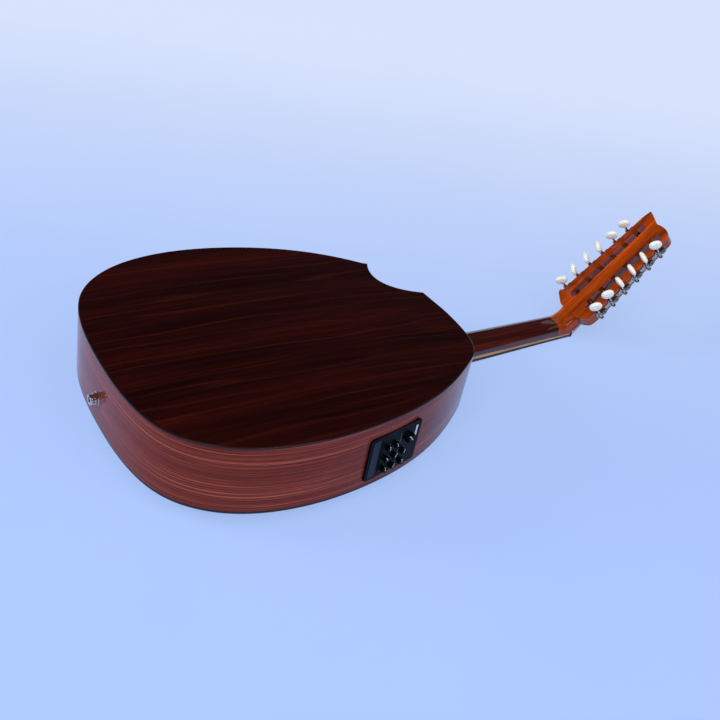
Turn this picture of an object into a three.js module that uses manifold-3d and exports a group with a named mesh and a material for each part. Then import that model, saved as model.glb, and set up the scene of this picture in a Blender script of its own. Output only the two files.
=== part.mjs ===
// A flat-backed twelve-string electric oud, lying face down on its strings.
// Millimetres. In the instrument's own frame x runs from the tail to the neck, +y is the treble side,
// z is zero on the outer face of the soundboard and +z points at the back.
import * as THREE from 'three'
import { mergeVertices } from 'three/addons/utils/BufferGeometryUtils.js'
import { NURBSCurve } from 'three/addons/curves/NURBSCurve.js'
import Module from 'manifold-3d'

const wasm = await Module()
wasm.setup()

// Driving dimensions of the body.
const bodyLength = 440
const bodyHalfWidth = 190
const tailDepth = 81.7
const neckDepth = 72.6
const backCrown = 7.9
const soundboardThickness = 2.6
const sideThickness = 2.2
const backThickness = 2.5
const bindingWidth = 2
const bindingHeight = 2.7
const liningWidth = 6
const frontLiningHeight = 9
const backLiningHeight = 10
const barWidth = 7
const frontBarHeight = 16
const backBarHeight = 13
const blockThickness = 16
const tailBlockWidth = 70
const neckBlockWidth = 64
const soundholeRadius = 43
const soundholeCentre = 296

// Driving dimensions of the neck and its fingerboard.
const neckLength = 233
const neckPitch = 1.4
const fingerboardDrop = 5
const fingerboardThickness = 3
const stripAtBody = 5
const stripAtNut = 2.5
const neckThickness = 22
const neckHalfWidth = 24
const nutHalfWidth = 17.6
const spliceBeforeNut = 28
const nutThickness = 4.6
const nutProud = 0.8

// Driving dimensions of the headstock.
const headTilt = 44
const headLength = 197
const headThickness = 18.8
const headHalfWidth = 30
const headMiddleShare = 0.5
const headMiddle = headLength * headMiddleShare
const headTaper = 0.042
const headRise = 8.3
const throatHalfWidth = 18.1
const slotStartShare = 0.1675
const slotEndShare = 0.8883
const slotStart = headLength * slotStartShare
const slotEnd = headLength * slotEndShare
const slotInner = 9
const slotOuter = 20.4

// Driving dimensions of the tuning machines.
const tunersPerSide = 6
const firstRollerShare = 0.23655
const tunerSpacingShare = 0.118274
const firstRoller = headLength * firstRollerShare
const tunerSpacing = headLength * tunerSpacingShare
const rollerRadius = 3.2
const rollerHeight = 9
const rollerEnd = 4.6
const gearTeeth = 14
const gearRadius = 4.9
const gearToothDepth = 1
const gearWidth = 3.2
const wormRadius = 1.9
const wormLength = 6.2
const shaftRadius = 1.2
const buttonLength = 17.4
const buttonHeight = 15.4
const buttonThickness = 7.2
const buttonHeightAboveFace = 32.3
const plateThickness = 1.2
const plateWidth = 12
const earThickness = 1.6
const earWidth = 5.2
const earReach = 5.4

// Driving dimensions of the strings and bridge.
const scaleLength = 585
const stringRadius = 0.45
const courseGap = 2.4
const nutSpread = 27
const saddleSpread = 66
const actionAtBody = 2.6
const bridgeLength = 116
const bridgeBase = 3.2
const bridgeDepth = 30
const bridgeBlockHeight = 12.5
const saddleThickness = 3
const saddleLength = 76
const saddleSlotDepth = 4

// Driving dimensions of the preamp, its battery and the output jack.
const panelLength = 76
const panelHeight = 55
const panelCentreX = 254.6
const panelCentreZ = 38.7
const panelProud = 1.4
const panelThickness = 8
const housingLength = 70
const housingHeight = 53
const housingDepth = 36
const knobRadius = 3.9
const knobHeight = 4.6
const volumeRadius = 6.4
const volumeHeight = 5.6
const stemRadius = 1.6
const stemLength = 5
const knobLift = 0.5
const trayWidth = 19.2
const trayHeight = 50.6
const trayDepth = 30.4
const trayWall = 1.1
const trayDoor = 2
const batteryWidth = 17.5
const batteryHeight = 48.5
const batteryDepth = 26.5
const jackHeight = 34.2
const jackBarrelRadius = 6
const jackFlangeRadius = 7.5
const jackFlange = 1.8
const jackProud = 9.2
const jackInside = 34
const jackBore = 3.25
const jackBoreDepth = 28

// Fits.
const seat = 0.25
const running = 0.3
const overrun = 40
const weldDistance = 0.00001

// Shares that shape the outline: places along the body and half widths, of the sizes above.
const outlineShares = [0, 0, 0.07, 0.27, 0.5, 0.74, 0.92, 1, 1]
const bassShares = [0, 0.477, 0.832, 1.013, 1, 0.853, 0.569, 0.415, 0]
const trebleShares = [0, 0.477, 0.832, 1.013, 1, 0.869, 0.617, 0.415, 0]
const outlineKnotShares = [0, 0, 0, 0, 1 / 6, 2 / 6, 3 / 6, 4 / 6, 5 / 6, 1, 1, 1, 1]
const hornShares = [0.9073, 0.629]
const cutawayShares = [[0.864, 0.463], [0.873, 0.295], [0.993, 0.218]]
const frontBarShares = [0.33, 0.46, 0.8, 0.905]
const backBarShares = [0.16, 0.42, 0.68, 0.88]
const outlineSteps = 32
const cutawaySteps = 8
const backSteps = 10

// Headstock outline as shares of a length and of its half width: each shoulder from the throat to where its machine
// plate starts, as shares of that place, and the tip as shares of the head's length.
const bassShoulderShares = [[0.413, -0.54], [0.5, -0.72], [0.599, -0.9], [0.756, -0.97], [0.977, -1]]
const trebleShoulderShares = [[1, 1], [0.913, 1.086], [0.814, 1.053], [0.669, 0.847], [0.558, 0.68], [0.471, 0.54]]
const tipShares = [
  [0.868, -1], [0.896, -1], [0.919, -0.805], [0.937, -0.526], [0.947, -0.226], [0.946, 0.02],
  [0.964, 0.304], [0.987, 0.63], [1, 0.93], [0.939, 1], [0.868, 1]
]
// How far the handle stands above the fingerboard's playing face, as shares of the neck's thickness.
const handleShares = [
  [0, 1, 0.85], [0.28, 1.015, 0.85], [0.5, 1.07, 0.82], [0.75, 1.25, 0.75], [1, 1.53, 0.6], [1.3, 1.93, 0.45],
  [1.5, 2.2, 0.45]
]
// The power that rounds the neck's section: one is an ellipse and less is squarer.
const neckRoundShare = 0.85

// The angle in degrees at which each button was left.
const bassButtonAngles = [-32, -28, 78, 74, 70, -34]
const trebleButtonAngles = [-32, 52, 56, 50, -44, -38]
// Places of the knobs on the panel as shares of its length and height from the tail-side lower corner. One more
// column of knobs stands close beside the drawer, clear of its way out.
const knobColumnShares = [0.512, 0.69]
const knobRowShares = [0.135, 0.39, 0.65]
const volumeShares = [0.785, 0.66]
const trayPlaceShare = 0.168

const colours = {
  rosewood: 0x2a0d0a,
  sideRosewood: 0x7a4440,
  spruce: 0xd9b27a,
  cedar: 0xb5510f,
  maple: 0xd0a078,
  ebony: 0x17120f,
  bone: 0xe8dfc8,
  pearl: 0xefe6d8,
  chrome: 0xb9bcc0,
  brass: 0xb08d4a,
  plastic: 0x16191d,
  steel: 0xa9a9ab,
  battery: 0x2c3b57
}

// Meshes, solids and cuts.
function solid(geometry) {
  const bare = geometry.index ? geometry.toNonIndexed() : geometry.clone()
  bare.deleteAttribute('normal')
  bare.deleteAttribute('uv')
  const merged = mergeVertices(bare, weldDistance)
  return new wasm.Manifold(new wasm.Mesh({
    numProp: 3,
    vertProperties: new Float32Array(merged.attributes.position.array),
    triVerts: new Uint32Array(merged.index.array)
  }))
}

function asGeometry(body) {
  const mesh = body.getMesh()
  const geometry = new THREE.BufferGeometry()
  geometry.setAttribute('position', new THREE.BufferAttribute(new Float32Array(mesh.vertProperties), 3))
  geometry.setIndex(new THREE.BufferAttribute(new Uint32Array(mesh.triVerts), 1))
  geometry.computeVertexNormals()
  return geometry
}

function piece(parent, name, shape, colour, roughness, metalness = 0) {
  const geometry = shape.isBufferGeometry ? shape : asGeometry(shape)
  const material = new THREE.MeshStandardMaterial({ color: colour, roughness, metalness })
  const mesh = new THREE.Mesh(geometry, material)
  mesh.name = name
  parent.add(mesh)
  return mesh
}

function moved(geometry, matrix) {
  return geometry.clone().applyMatrix4(matrix)
}

// A box from its lowest to its highest corner.
function box(low, high) {
  const size = high.map((value, axis) => value - low[axis])
  const geometry = new THREE.BoxGeometry(...size)
  geometry.translate(...low.map((value, axis) => value + size[axis] / 2))
  return geometry
}

function prism(points, low, high) {
  const geometry = new THREE.ExtrudeGeometry(new THREE.Shape(points), { depth: high - low, bevelEnabled: false })
  geometry.translate(0, 0, low)
  return geometry
}

// A prism whose outline is given in x and z, and which runs along y.
function sidewaysPrism(points, low, high) {
  const geometry = prism(points, -high, -low)
  geometry.rotateX(Math.PI / 2)
  return geometry
}

// A round bar of given radius along z.
function bar(radius, low, high, sides) {
  const geometry = new THREE.CylinderGeometry(radius, radius, high - low, sides)
  geometry.rotateX(Math.PI / 2)
  geometry.translate(0, 0, (low + high) / 2)
  return geometry
}

// A turned piece round z. The profile is a list of radius and height.
function turned(profile, sides) {
  const points = profile.map(([radius, height]) => new THREE.Vector2(radius, height))
  const geometry = new THREE.LatheGeometry(points, sides)
  geometry.rotateX(Math.PI / 2)
  return geometry
}

// A closed skin through rings of equally many points.
function skin(rings) {
  const count = rings[0].length
  const positions = rings.flat().flatMap((point) => [point.x, point.y, point.z])
  const faces = []
  for (let ring = 0; ring < rings.length - 1; ring += 1) {
    for (let place = 0; place < count; place += 1) {
      const next = (place + 1) % count
      const here = ring * count
      const there = here + count
      faces.push(here + place, here + next, there + next, here + place, there + next, there + place)
    }
  }
  const last = (rings.length - 1) * count
  for (let place = 1; place < count - 1; place += 1) {
    faces.push(0, place + 1, place, last, last + place, last + place + 1)
  }
  const geometry = new THREE.BufferGeometry()
  geometry.setAttribute('position', new THREE.Float32BufferAttribute(positions, 3))
  geometry.setIndex(faces)
  return geometry
}

// The outline of the body.
function sideCurve(shares) {
  const controls = outlineShares.map((share, place) => {
    return new THREE.Vector4(share * bodyLength, shares[place] * bodyHalfWidth, 0, 1)
  })
  return new NURBSCurve(3, outlineKnotShares, controls)
}

function bodyOutline() {
  const horn = new THREE.Vector2(hornShares[0] * bodyLength, hornShares[1] * bodyHalfWidth)
  const bass = sideCurve(bassShares).getPoints(outlineSteps).map((point) => new THREE.Vector2(point.x, -point.y))
  const treble = sideCurve(trebleShares).getPoints(outlineSteps).slice(1)
    .map((point) => new THREE.Vector2(point.x, point.y))
    .filter((point, place) => point.x < horn.x - horn.x * 0.012 && place < outlineSteps)
  const controls = cutawayShares.map(([along, out]) => new THREE.Vector2(along * bodyLength, out * bodyHalfWidth))
  const cutaway = new THREE.CubicBezierCurve(horn, ...controls).getPoints(cutawaySteps)
  return [...bass, ...cutaway.reverse(), ...treble.reverse()]
}

// The outline moved inwards by a distance, or outwards by a negative one.
function inset(points, distance) {
  return points.map((point, place) => {
    const before = points[(place + points.length - 1) % points.length]
    const after = points[(place + 1) % points.length]
    const first = new THREE.Vector2().subVectors(point, before).normalize()
    const second = new THREE.Vector2().subVectors(after, point).normalize()
    const normal = new THREE.Vector2(-first.y - second.y, first.x + second.x).normalize()
    const lean = Math.max(normal.x * -first.y + normal.y * first.x, 0.35)
    return new THREE.Vector2(point.x + normal.x * distance / lean, point.y + normal.y * distance / lean)
  })
}

// Height of the back's outer face above the soundboard.
function backHeight(along) {
  const share = along / bodyLength
  return tailDepth + (neckDepth - tailDepth) * share + 4 * backCrown * share * (1 - share)
}

// All the space lower than the back's outer face less a distance.
function underBack(distance) {
  const points = [new THREE.Vector2(bodyLength + overrun, -overrun), new THREE.Vector2(-overrun, -overrun)]
  for (let step = 0; step <= backSteps; step += 1) {
    const along = bodyLength * step / backSteps
    const end = step === 0 ? -overrun : step === backSteps ? overrun : 0
    points.push(new THREE.Vector2(along + end, backHeight(along) - distance))
  }
  return solid(sidewaysPrism(points.reverse(), -bodyHalfWidth - overrun, bodyHalfWidth + overrun))
}

function layerOfBack(shallow, deep) {
  return underBack(shallow).subtract(underBack(deep))
}

const outline = bodyOutline()
const insideSides = inset(outline, sideThickness + seat)
const insideLinings = inset(outline, sideThickness + seat + liningWidth)
const boardInner = soundboardThickness + seat
const backInner = backThickness + seat
const tall = tailDepth + backCrown + overrun

const instrument = new THREE.Group()

// Where the preamp panel stands on the bass side.
function panelPlacement() {
  const wall = outline.filter((point) => point.y < 0)
  const across = (along) => {
    const next = wall.findIndex((point) => point.x > along)
    const share = (along - wall[next - 1].x) / (wall[next].x - wall[next - 1].x)
    return wall[next - 1].y + (wall[next].y - wall[next - 1].y) * share
  }
  const low = panelCentreX - panelLength / 2
  const high = panelCentreX + panelLength / 2
  const turn = Math.atan2(across(high) - across(low), high - low)
  const outward = new THREE.Vector2(Math.sin(turn), -Math.cos(turn))
  const middle = new THREE.Vector2(panelCentreX, (across(low) + across(high)) / 2)
  const bulge = Math.max(...wall.map((point) => point.clone().sub(middle).dot(outward)))
  const centre = middle.clone().addScaledVector(outward, bulge + panelProud)
  return { centre, turn }
}

const panel = panelPlacement()
const panelMatrix = new THREE.Matrix4().makeRotationZ(panel.turn)
panelMatrix.setPosition(panel.centre.x, panel.centre.y, panelCentreZ)
const panelInverse = panelMatrix.clone().invert()
// In the panel's frame x runs along the wall, z up the wall, and the outer face is at y zero, facing -y.
const housingBox = box([-housingLength / 2, panelProud, -housingHeight / 2], [housingLength / 2, housingDepth, housingHeight / 2])
const trayCentre = (trayPlaceShare - 0.5) * panelLength

function makeBody() {
  const wholeBody = solid(prism(outline, -overrun, tall))
  const hole = solid(bar(soundholeRadius, -overrun, overrun, 36).translate(soundholeCentre, 0, 0))
  const board = solid(prism(outline, 0, soundboardThickness)).subtract(hole)
  piece(instrument, 'soundboard', board, colours.spruce, 0.35)

  const wallLow = box(
    [-housingLength / 2 - running, -overrun, -housingHeight / 2 - running],
    [housingLength / 2 + running, housingDepth + running, housingHeight / 2 + running]
  )
  const housingRoom = solid(moved(wallLow, panelMatrix))
  const jackHole = solid(bar(jackBarrelRadius + running, -overrun, overrun + jackInside, 24)
    .rotateY(Math.PI / 2).translate(0, 0, jackHeight))
  const sides = solid(prism(outline, boardInner, tall))
    .subtract(solid(prism(inset(outline, sideThickness), -overrun, tall + overrun)))
    .intersect(underBack(bindingHeight + seat))
    .subtract(housingRoom)
    .subtract(jackHole)
  piece(instrument, 'sides', sides, colours.sideRosewood, 0.3)

  const rim = wholeBody.subtract(solid(prism(inset(outline, bindingWidth), -overrun * 2, tall + overrun)))
  piece(instrument, 'back_binding', rim.intersect(layerOfBack(0, bindingHeight)), colours.ebony, 0.25)

  const plate = solid(prism(inset(outline, bindingWidth + seat), 0, tall)).intersect(layerOfBack(0, backThickness))
  piece(instrument, 'back_plate', plate, colours.rosewood, 0.18)

  const inside = solid(prism(insideSides, boardInner, tall)).intersect(underBack(backInner))
  const tailBlockHigh = [sideThickness + blockThickness, tailBlockWidth / 2, tall]
  const tailRegion = [[-overrun, -tailBlockWidth / 2, -overrun], tailBlockHigh]
  const neckRegion = [
    [bodyLength - sideThickness - blockThickness, -neckBlockWidth / 2, -overrun],
    [bodyLength + overrun, neckBlockWidth / 2, tall]
  ]
  const [tailBox, neckBox] = [tailRegion, neckRegion].map(([low, high]) => solid(box(low, high)))
  const widened = [tailRegion, neckRegion].map(([low, high]) => {
    return solid(box(low.map((value) => value - running), high.map((value) => value + running)))
  })
  piece(instrument, 'tail_block', inside.intersect(tailBox).subtract(jackHole), colours.maple, 0.6)
  piece(instrument, 'neck_block', inside.intersect(neckBox), colours.maple, 0.6)

  const ring = inside.subtract(solid(prism(insideLinings, -overrun, tall + overrun)))
  const across = (share, low, high) => {
    const centre = share * bodyLength
    return inside.intersect(solid(box(
      [centre - barWidth / 2, -bodyHalfWidth, low],
      [centre + barWidth / 2, bodyHalfWidth, high]
    )))
  }
  const joined = (start, parts) => parts.reduce((whole, part) => whole.add(part), start)
  const blocks = widened[0].add(widened[1])
  const frontRing = ring.intersect(solid(box(
    [-overrun, -bodyHalfWidth, boardInner],
    [bodyLength, bodyHalfWidth, boardInner + frontLiningHeight]
  )))
  const frontBars = frontBarShares.map((share) => across(share, boardInner, boardInner + frontBarHeight))
  piece(instrument, 'front_bracing', joined(frontRing, frontBars).subtract(blocks).subtract(housingRoom), colours.spruce, 0.7)

  const backRing = ring.intersect(layerOfBack(0, backInner + backLiningHeight))
  const backBars = backBarShares.map((share) => {
    return across(share, boardInner, tall).subtract(underBack(backInner + backBarHeight))
  })
  piece(instrument, 'back_bracing', joined(backRing, backBars).subtract(blocks).subtract(housingRoom), colours.spruce, 0.7)
}

// Neck frame: x from the body's end along the fingerboard, z zero on its playing face.
const neckGroup = new THREE.Group()
neckGroup.position.set(bodyLength, 0, -fingerboardDrop)
neckGroup.rotation.y = -THREE.MathUtils.degToRad(neckPitch)
instrument.add(neckGroup)
neckGroup.updateMatrix()
const neckInverse = neckGroup.matrix.clone().invert()
const stripFloor = fingerboardThickness + seat
const nutStart = neckLength - nutThickness

function halfWidthAt(along) {
  return neckHalfWidth + (nutHalfWidth - neckHalfWidth) * along / neckLength
}

function stripTop(along) {
  return stripFloor + stripAtBody + (stripAtNut - stripAtBody) * along / neckLength
}

// Half-round section with a flat face towards the fingerboard.
function neckSection(along, low, high, halfWidth, power = neckRoundShare) {
  const ring = []
  const steps = 12
  for (let step = 0; step <= steps; step += 1) {
    const angle = Math.PI * step / steps
    const out = Math.sign(Math.cos(angle)) * Math.abs(Math.cos(angle)) ** power
    ring.push(new THREE.Vector3(along, halfWidth * out, low + (high - low) * Math.abs(Math.sin(angle)) ** power))
  }
  return ring
}

function flatSection(along, low, high, halfWidth) {
  return [
    new THREE.Vector3(along, halfWidth, low),
    new THREE.Vector3(along, halfWidth, high),
    new THREE.Vector3(along, -halfWidth, high),
    new THREE.Vector3(along, -halfWidth, low)
  ]
}

function makeNeck() {
  const bodyCut = solid(moved(prism(inset(outline, -seat), -overrun, tall), neckInverse))
  const start = -backCrown
  const spliceAt = neckLength - spliceBeforeNut
  const ends = (from, to, make) => solid(skin([from, to].map(make))).subtract(bodyCut)

  const board = ends(start, nutStart - seat, (along) => {
    return flatSection(along, 0, fingerboardThickness, halfWidthAt(along))
  })
  piece(neckGroup, 'fingerboard', board, colours.ebony, 0.3)

  const strip = ends(start, nutStart - seat, (along) => flatSection(along, stripFloor, stripTop(along), halfWidthAt(along)))
  piece(neckGroup, 'neck_strip', strip, colours.maple, 0.3)

  const neck = ends(start, spliceAt, (along) => {
    return neckSection(along, stripTop(along) + seat, neckThickness, halfWidthAt(along))
  })
  piece(neckGroup, 'neck', neck, colours.rosewood, 0.2)

  const nut = solid(skin([nutStart, neckLength].map((along) => {
    return flatSection(along, -nutProud, stripTop(neckLength) - seat, halfWidthAt(neckLength))
  })))
  piece(neckGroup, 'nut', nut, colours.ebony, 0.35)
}

// Head frame: x along the head, z zero on its string side and rising towards its rear.
const headGroup = new THREE.Group()
headGroup.position.set(neckLength, 0, headRise)
headGroup.rotation.y = -THREE.MathUtils.degToRad(headTilt)
neckGroup.add(headGroup)
headGroup.updateMatrix()
const headInverse = headGroup.matrix.clone().invert()
const headToInstrument = neckGroup.matrix.clone().multiply(headGroup.matrix)

function rollerPlace(count) {
  return firstRoller + tunerSpacing * count
}

// How far a roller reaches into the head from its side face.
function rollerReach(count) {
  return headHalfWidth - headTaper * (rollerPlace(count) - headMiddle) - rollerEnd
}

// The frame of one side face: x along the face, y zero on it, and both sides taper towards the tip.
function sideMatrix(side) {
  const matrix = new THREE.Matrix4().makeRotationZ(-side * Math.atan(headTaper))
  return matrix.setPosition(headMiddle, side * headHalfWidth, 0)
}

function slotShape(side) {
  const radius = (slotOuter - slotInner) / 2
  const middle = side * (slotOuter + slotInner) / 2
  const shape = new THREE.Shape()
  shape.absarc(slotEnd - radius, middle, radius, -Math.PI / 2, Math.PI / 2, false)
  shape.absarc(slotStart + radius, middle, radius, Math.PI / 2, Math.PI * 1.5, false)
  return shape
}

function makeHead() {
  const edge = (shares, length) => shares.map(([share, out]) => {
    const along = share * length
    return new THREE.Vector2(along, out * (headHalfWidth - headTaper * (along - headMiddle)))
  })
  const shoulder = plateStart - seat * 2
  const corners = [
    ...edge(bassShoulderShares, shoulder),
    ...edge(tipShares, headLength),
    ...edge(trebleShoulderShares, shoulder)
  ]
  const handleStart = neckLength - spliceBeforeNut + seat
  const handleFloor = stripTop(neckLength) + seat * 2
  const handle = skin(handleShares.map(([share, height, power]) => {
    const along = handleStart + share * spliceBeforeNut
    const halfWidth = share > 1 ? throatHalfWidth : halfWidthAt(along)
    return neckSection(along, handleFloor, height * neckThickness, halfWidth, power)
  }))
  const below = box([-headLength, -headHalfWidth * 2, -overrun * 2], [headLength, headHalfWidth * 2, 0])
  const behind = box([0, -headHalfWidth * 2, headThickness], [headLength, headHalfWidth * 2, overrun * 2])
  let head = solid(moved(handle, headInverse)).subtract(solid(behind))
    .add(solid(prism(corners, 0, headThickness)))
    .subtract(solid(below))
    .subtract(solid(moved(box([0, -overrun, -overrun], [neckLength, overrun, handleFloor]), headInverse)))
  for (const side of [-1, 1]) {
    const slot = new THREE.ExtrudeGeometry(slotShape(side), { depth: headThickness * 3, bevelEnabled: false, curveSegments: 6 })
    slot.translate(0, 0, -headThickness)
    head = head.subtract(solid(slot))
    const limits = (near, far) => [Math.min(side * near, side * far), Math.max(side * near, side * far)]
    const wideRamp = [
      new THREE.Vector2(slotStart * 0.3, 0),
      new THREE.Vector2(slotStart * 0.3, -overrun),
      new THREE.Vector2(slotStart * 1.2, -overrun),
      new THREE.Vector2(slotStart * 1.2, headThickness * 0.33)
    ]
    const narrowRamp = [
      new THREE.Vector2(slotStart * 0.24, 0),
      new THREE.Vector2(slotStart * 0.24, -overrun),
      new THREE.Vector2(slotStart * 1.34, -overrun),
      new THREE.Vector2(slotStart * 1.34, headThickness * 0.19),
      new THREE.Vector2(slotStart * 0.7, headThickness * 0.19)
    ]
    head = head.subtract(solid(sidewaysPrism(wideRamp, ...limits(slotInner, slotOuter))))
    head = head.subtract(solid(sidewaysPrism(narrowRamp, ...limits(slotInner / 3, slotInner + seat))))
    for (let count = 0; count < tunersPerSide; count += 1) {
      const bearing = bar(rollerRadius + running, -rollerReach(count) - running, overrun, 8)
      bearing.rotateX(side * -Math.PI / 2).translate(rollerPlace(count) - headMiddle, 0, rollerHeight)
      head = head.subtract(solid(moved(bearing, sideMatrix(side))))
    }
  }
  piece(headGroup, 'headstock', head, colours.cedar, 0.3)
}

const plateInner = seat
const plateOuter = plateInner + plateThickness
const gearCentre = plateOuter + running + gearWidth / 2 + running
const wormOffset = gearRadius + wormRadius + running * 0.7
const plateStart = rollerPlace(0) - wormOffset - earWidth
const lowerEar = rollerHeight - gearRadius
const upperEar = rollerHeight + gearRadius - earThickness

// The plate on one side, seen in the frame of that side face, with two bored ears for each worm.
function machinePlate(side) {
  const first = plateStart - headMiddle
  const last = rollerPlace(tunersPerSide - 1) + plateWidth / 2 - headMiddle
  const limits = (near, far) => [Math.min(side * near, side * far), Math.max(side * near, side * far)]
  const [low, high] = limits(plateInner, plateOuter)
  let plate = solid(box([first, low, rollerHeight - plateWidth / 2], [last, high, rollerHeight + plateWidth / 2]))
  for (let count = 0; count < tunersPerSide; count += 1) {
    const place = rollerPlace(count) - headMiddle
    const worm = place - wormOffset
    const hole = bar(rollerRadius + running, -overrun, overrun, 8).rotateX(side * -Math.PI / 2)
    plate = plate.subtract(solid(hole.translate(place, 0, rollerHeight)))
    for (const floor of [lowerEar - earThickness, upperEar + earThickness]) {
      const [near, far] = limits(plateOuter - plateThickness / 2, plateOuter + earReach)
      const ear = box([worm - earWidth / 2, near, floor], [worm + earWidth / 2, far, floor + earThickness])
      const eye = bar(shaftRadius + running, floor - overrun, floor + overrun, 6)
      eye.translate(worm, side * gearCentre, 0)
      plate = plate.add(solid(ear)).subtract(solid(eye))
    }
  }
  return plate
}

// One string roller with its gear, turned round its own axis, which becomes local z.
function rollerBody(count) {
  const inner = -rollerReach(count) - gearCentre
  const shaft = turned([
    [0, inner],
    [rollerRadius, inner],
    [rollerRadius, gearWidth / 2],
    [rollerRadius * 0.5, gearWidth * 0.8],
    [0, gearWidth * 0.8]
  ], 8)
  const teeth = []
  for (let count = 0; count < gearTeeth; count += 1) {
    for (const [share, radius] of [[0, gearRadius - gearToothDepth], [0.5, gearRadius]]) {
      const angle = 2 * Math.PI * (count + share) / gearTeeth
      teeth.push(new THREE.Vector2(radius * Math.cos(angle), radius * Math.sin(angle)))
    }
  }
  return solid(shaft).add(solid(prism(teeth, -gearWidth / 2, gearWidth / 2)))
}

// One worm with its shaft and button. Local z is the shaft's axis, zero on the head's string side.
function keyBody(angle) {
  const wormLow = rollerHeight - wormLength / 2
  const wormHigh = rollerHeight + wormLength / 2
  const collar = upperEar + earThickness * 2 + running
  const cap = lowerEar - earThickness - running
  const middle = buttonHeightAboveFace
  const buttonLow = middle - buttonHeight / 2
  const shaft = turned([
    [0, cap - earThickness],
    [wormRadius * 0.9, cap - earThickness],
    [wormRadius * 0.9, cap],
    [shaftRadius, cap],
    [shaftRadius, wormLow],
    [wormRadius, wormLow],
    [wormRadius, wormHigh],
    [shaftRadius, wormHigh],
    [shaftRadius, collar],
    [wormRadius * 0.95, collar],
    [wormRadius * 0.8, buttonLow + buttonHeight * 0.12],
    [0, buttonLow + buttonHeight * 0.12]
  ], 6)
  const button = new THREE.SphereGeometry(1, 10, 6)
  button.rotateX(Math.PI / 2)
  button.scale(buttonLength / 2, buttonThickness / 2, buttonHeight / 2)
  button.rotateZ(THREE.MathUtils.degToRad(angle))
  button.translate(0, 0, middle)
  return solid(shaft).add(solid(button))
}

function makeMachines() {
  const sidesOfHead = [
    { side: -1, word: 'bass', angles: bassButtonAngles },
    { side: 1, word: 'treble', angles: trebleButtonAngles }
  ]
  for (const { side, word, angles } of sidesOfHead) {
    const face = new THREE.Group()
    face.applyMatrix4(sideMatrix(side))
    headGroup.add(face)
    piece(face, `machine_plate_${word}`, machinePlate(side), colours.chrome, 0.3, 1)
    for (let count = 0; count < tunersPerSide; count += 1) {
      const place = rollerPlace(count) - headMiddle
      const roller = piece(face, `string_roller_${word}_${count + 1}`, rollerBody(count), colours.steel, 0.3, 1)
      roller.position.set(place, side * gearCentre, rollerHeight)
      roller.rotation.x = side * -Math.PI / 2
      const key = piece(face, `tuner_key_${word}_${count + 1}`, keyBody(angles[count]), colours.pearl, 0.3)
      key.position.set(place - wormOffset, side * gearCentre, 0)
    }
  }
}

// The strings run straight from the saddle to the nut.
function spread(width, course, string) {
  const centre = width * (course / (tunersPerSide - 1) - 0.5)
  return centre + (string - 0.5) * courseGap
}

const stringLift = seat + stringRadius
const nutBend = stringLift * Math.tan(THREE.MathUtils.degToRad(headTilt * 0.7))
const nutLine = new THREE.Vector3(neckLength + nutBend, 0, -nutProud - stringLift)
  .applyMatrix4(neckGroup.matrix)
const jointLine = new THREE.Vector3(0, 0, -actionAtBody).applyMatrix4(neckGroup.matrix)
const stringSlope = (nutLine.z - jointLine.z) / (nutLine.x - jointLine.x)
const saddleX = nutLine.x - scaleLength
const saddleLine = nutLine.z - scaleLength * stringSlope
const saddleTop = saddleLine + stringLift

function makeBridge() {
  const low = -bridgeBlockHeight
  const top = -seat
  const front = saddleX + bridgeDepth * 0.4
  const back = front - bridgeDepth
  const halfLength = bridgeLength / 2
  const blockHalf = saddleLength / 2 + saddleThickness * 1.3
  const base = box([back, -halfLength, -bridgeBase], [front, halfLength, top])
  const blockReach = saddleThickness * 1.4
  const saddleBlock = box([saddleX - blockReach, -blockHalf, low], [saddleX + blockReach, blockHalf, top])
  const tieHigh = saddleX - bridgeDepth * 0.45
  const tieBlock = box([back, -blockHalf, low * 0.8], [tieHigh, blockHalf, top])
  const slotFloor = low + saddleSlotDepth
  const saddleBack = saddleX + stringLift * 0.5
  const slot = box(
    [saddleBack - seat, -saddleLength / 2 - seat, low - overrun],
    [saddleBack + saddleThickness + seat, saddleLength / 2 + seat, slotFloor]
  )
  const bridge = solid(base).add(solid(saddleBlock)).add(solid(tieBlock)).subtract(solid(slot))
  piece(instrument, 'bridge', bridge, colours.ebony, 0.4)
  const saddle = box(
    [saddleBack, -saddleLength / 2, saddleTop],
    [saddleBack + saddleThickness, saddleLength / 2, slotFloor - seat]
  )
  piece(instrument, 'saddle', saddle, colours.bone, 0.4)
  return { tieX: tieHigh + seat + stringRadius, tieZ: low * 0.6 }
}

// A round wire through a list of points, as one closed skin.
function wire(points, radius, sides) {
  const rings = []
  let reference = new THREE.Vector3(0, 0, 1)
  points.forEach((point, place) => {
    const before = points[Math.max(place - 1, 0)]
    const after = points[Math.min(place + 1, points.length - 1)]
    const coming = place === 0 ? after.clone().sub(point) : point.clone().sub(before)
    const going = place === points.length - 1 ? coming.clone() : after.clone().sub(point)
    const tangent = coming.normalize().add(going.normalize()).normalize()
    reference = reference.clone().addScaledVector(tangent, -reference.dot(tangent)).normalize()
    const other = new THREE.Vector3().crossVectors(tangent, reference)
    const ring = []
    for (let step = 0; step < sides; step += 1) {
      const angle = 2 * Math.PI * (step + 0.5) / sides
      ring.push(point.clone()
        .addScaledVector(reference, radius * Math.cos(angle))
        .addScaledVector(other, radius * Math.sin(angle)))
    }
    rings.push(ring)
  })
  return skin(rings)
}

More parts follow.
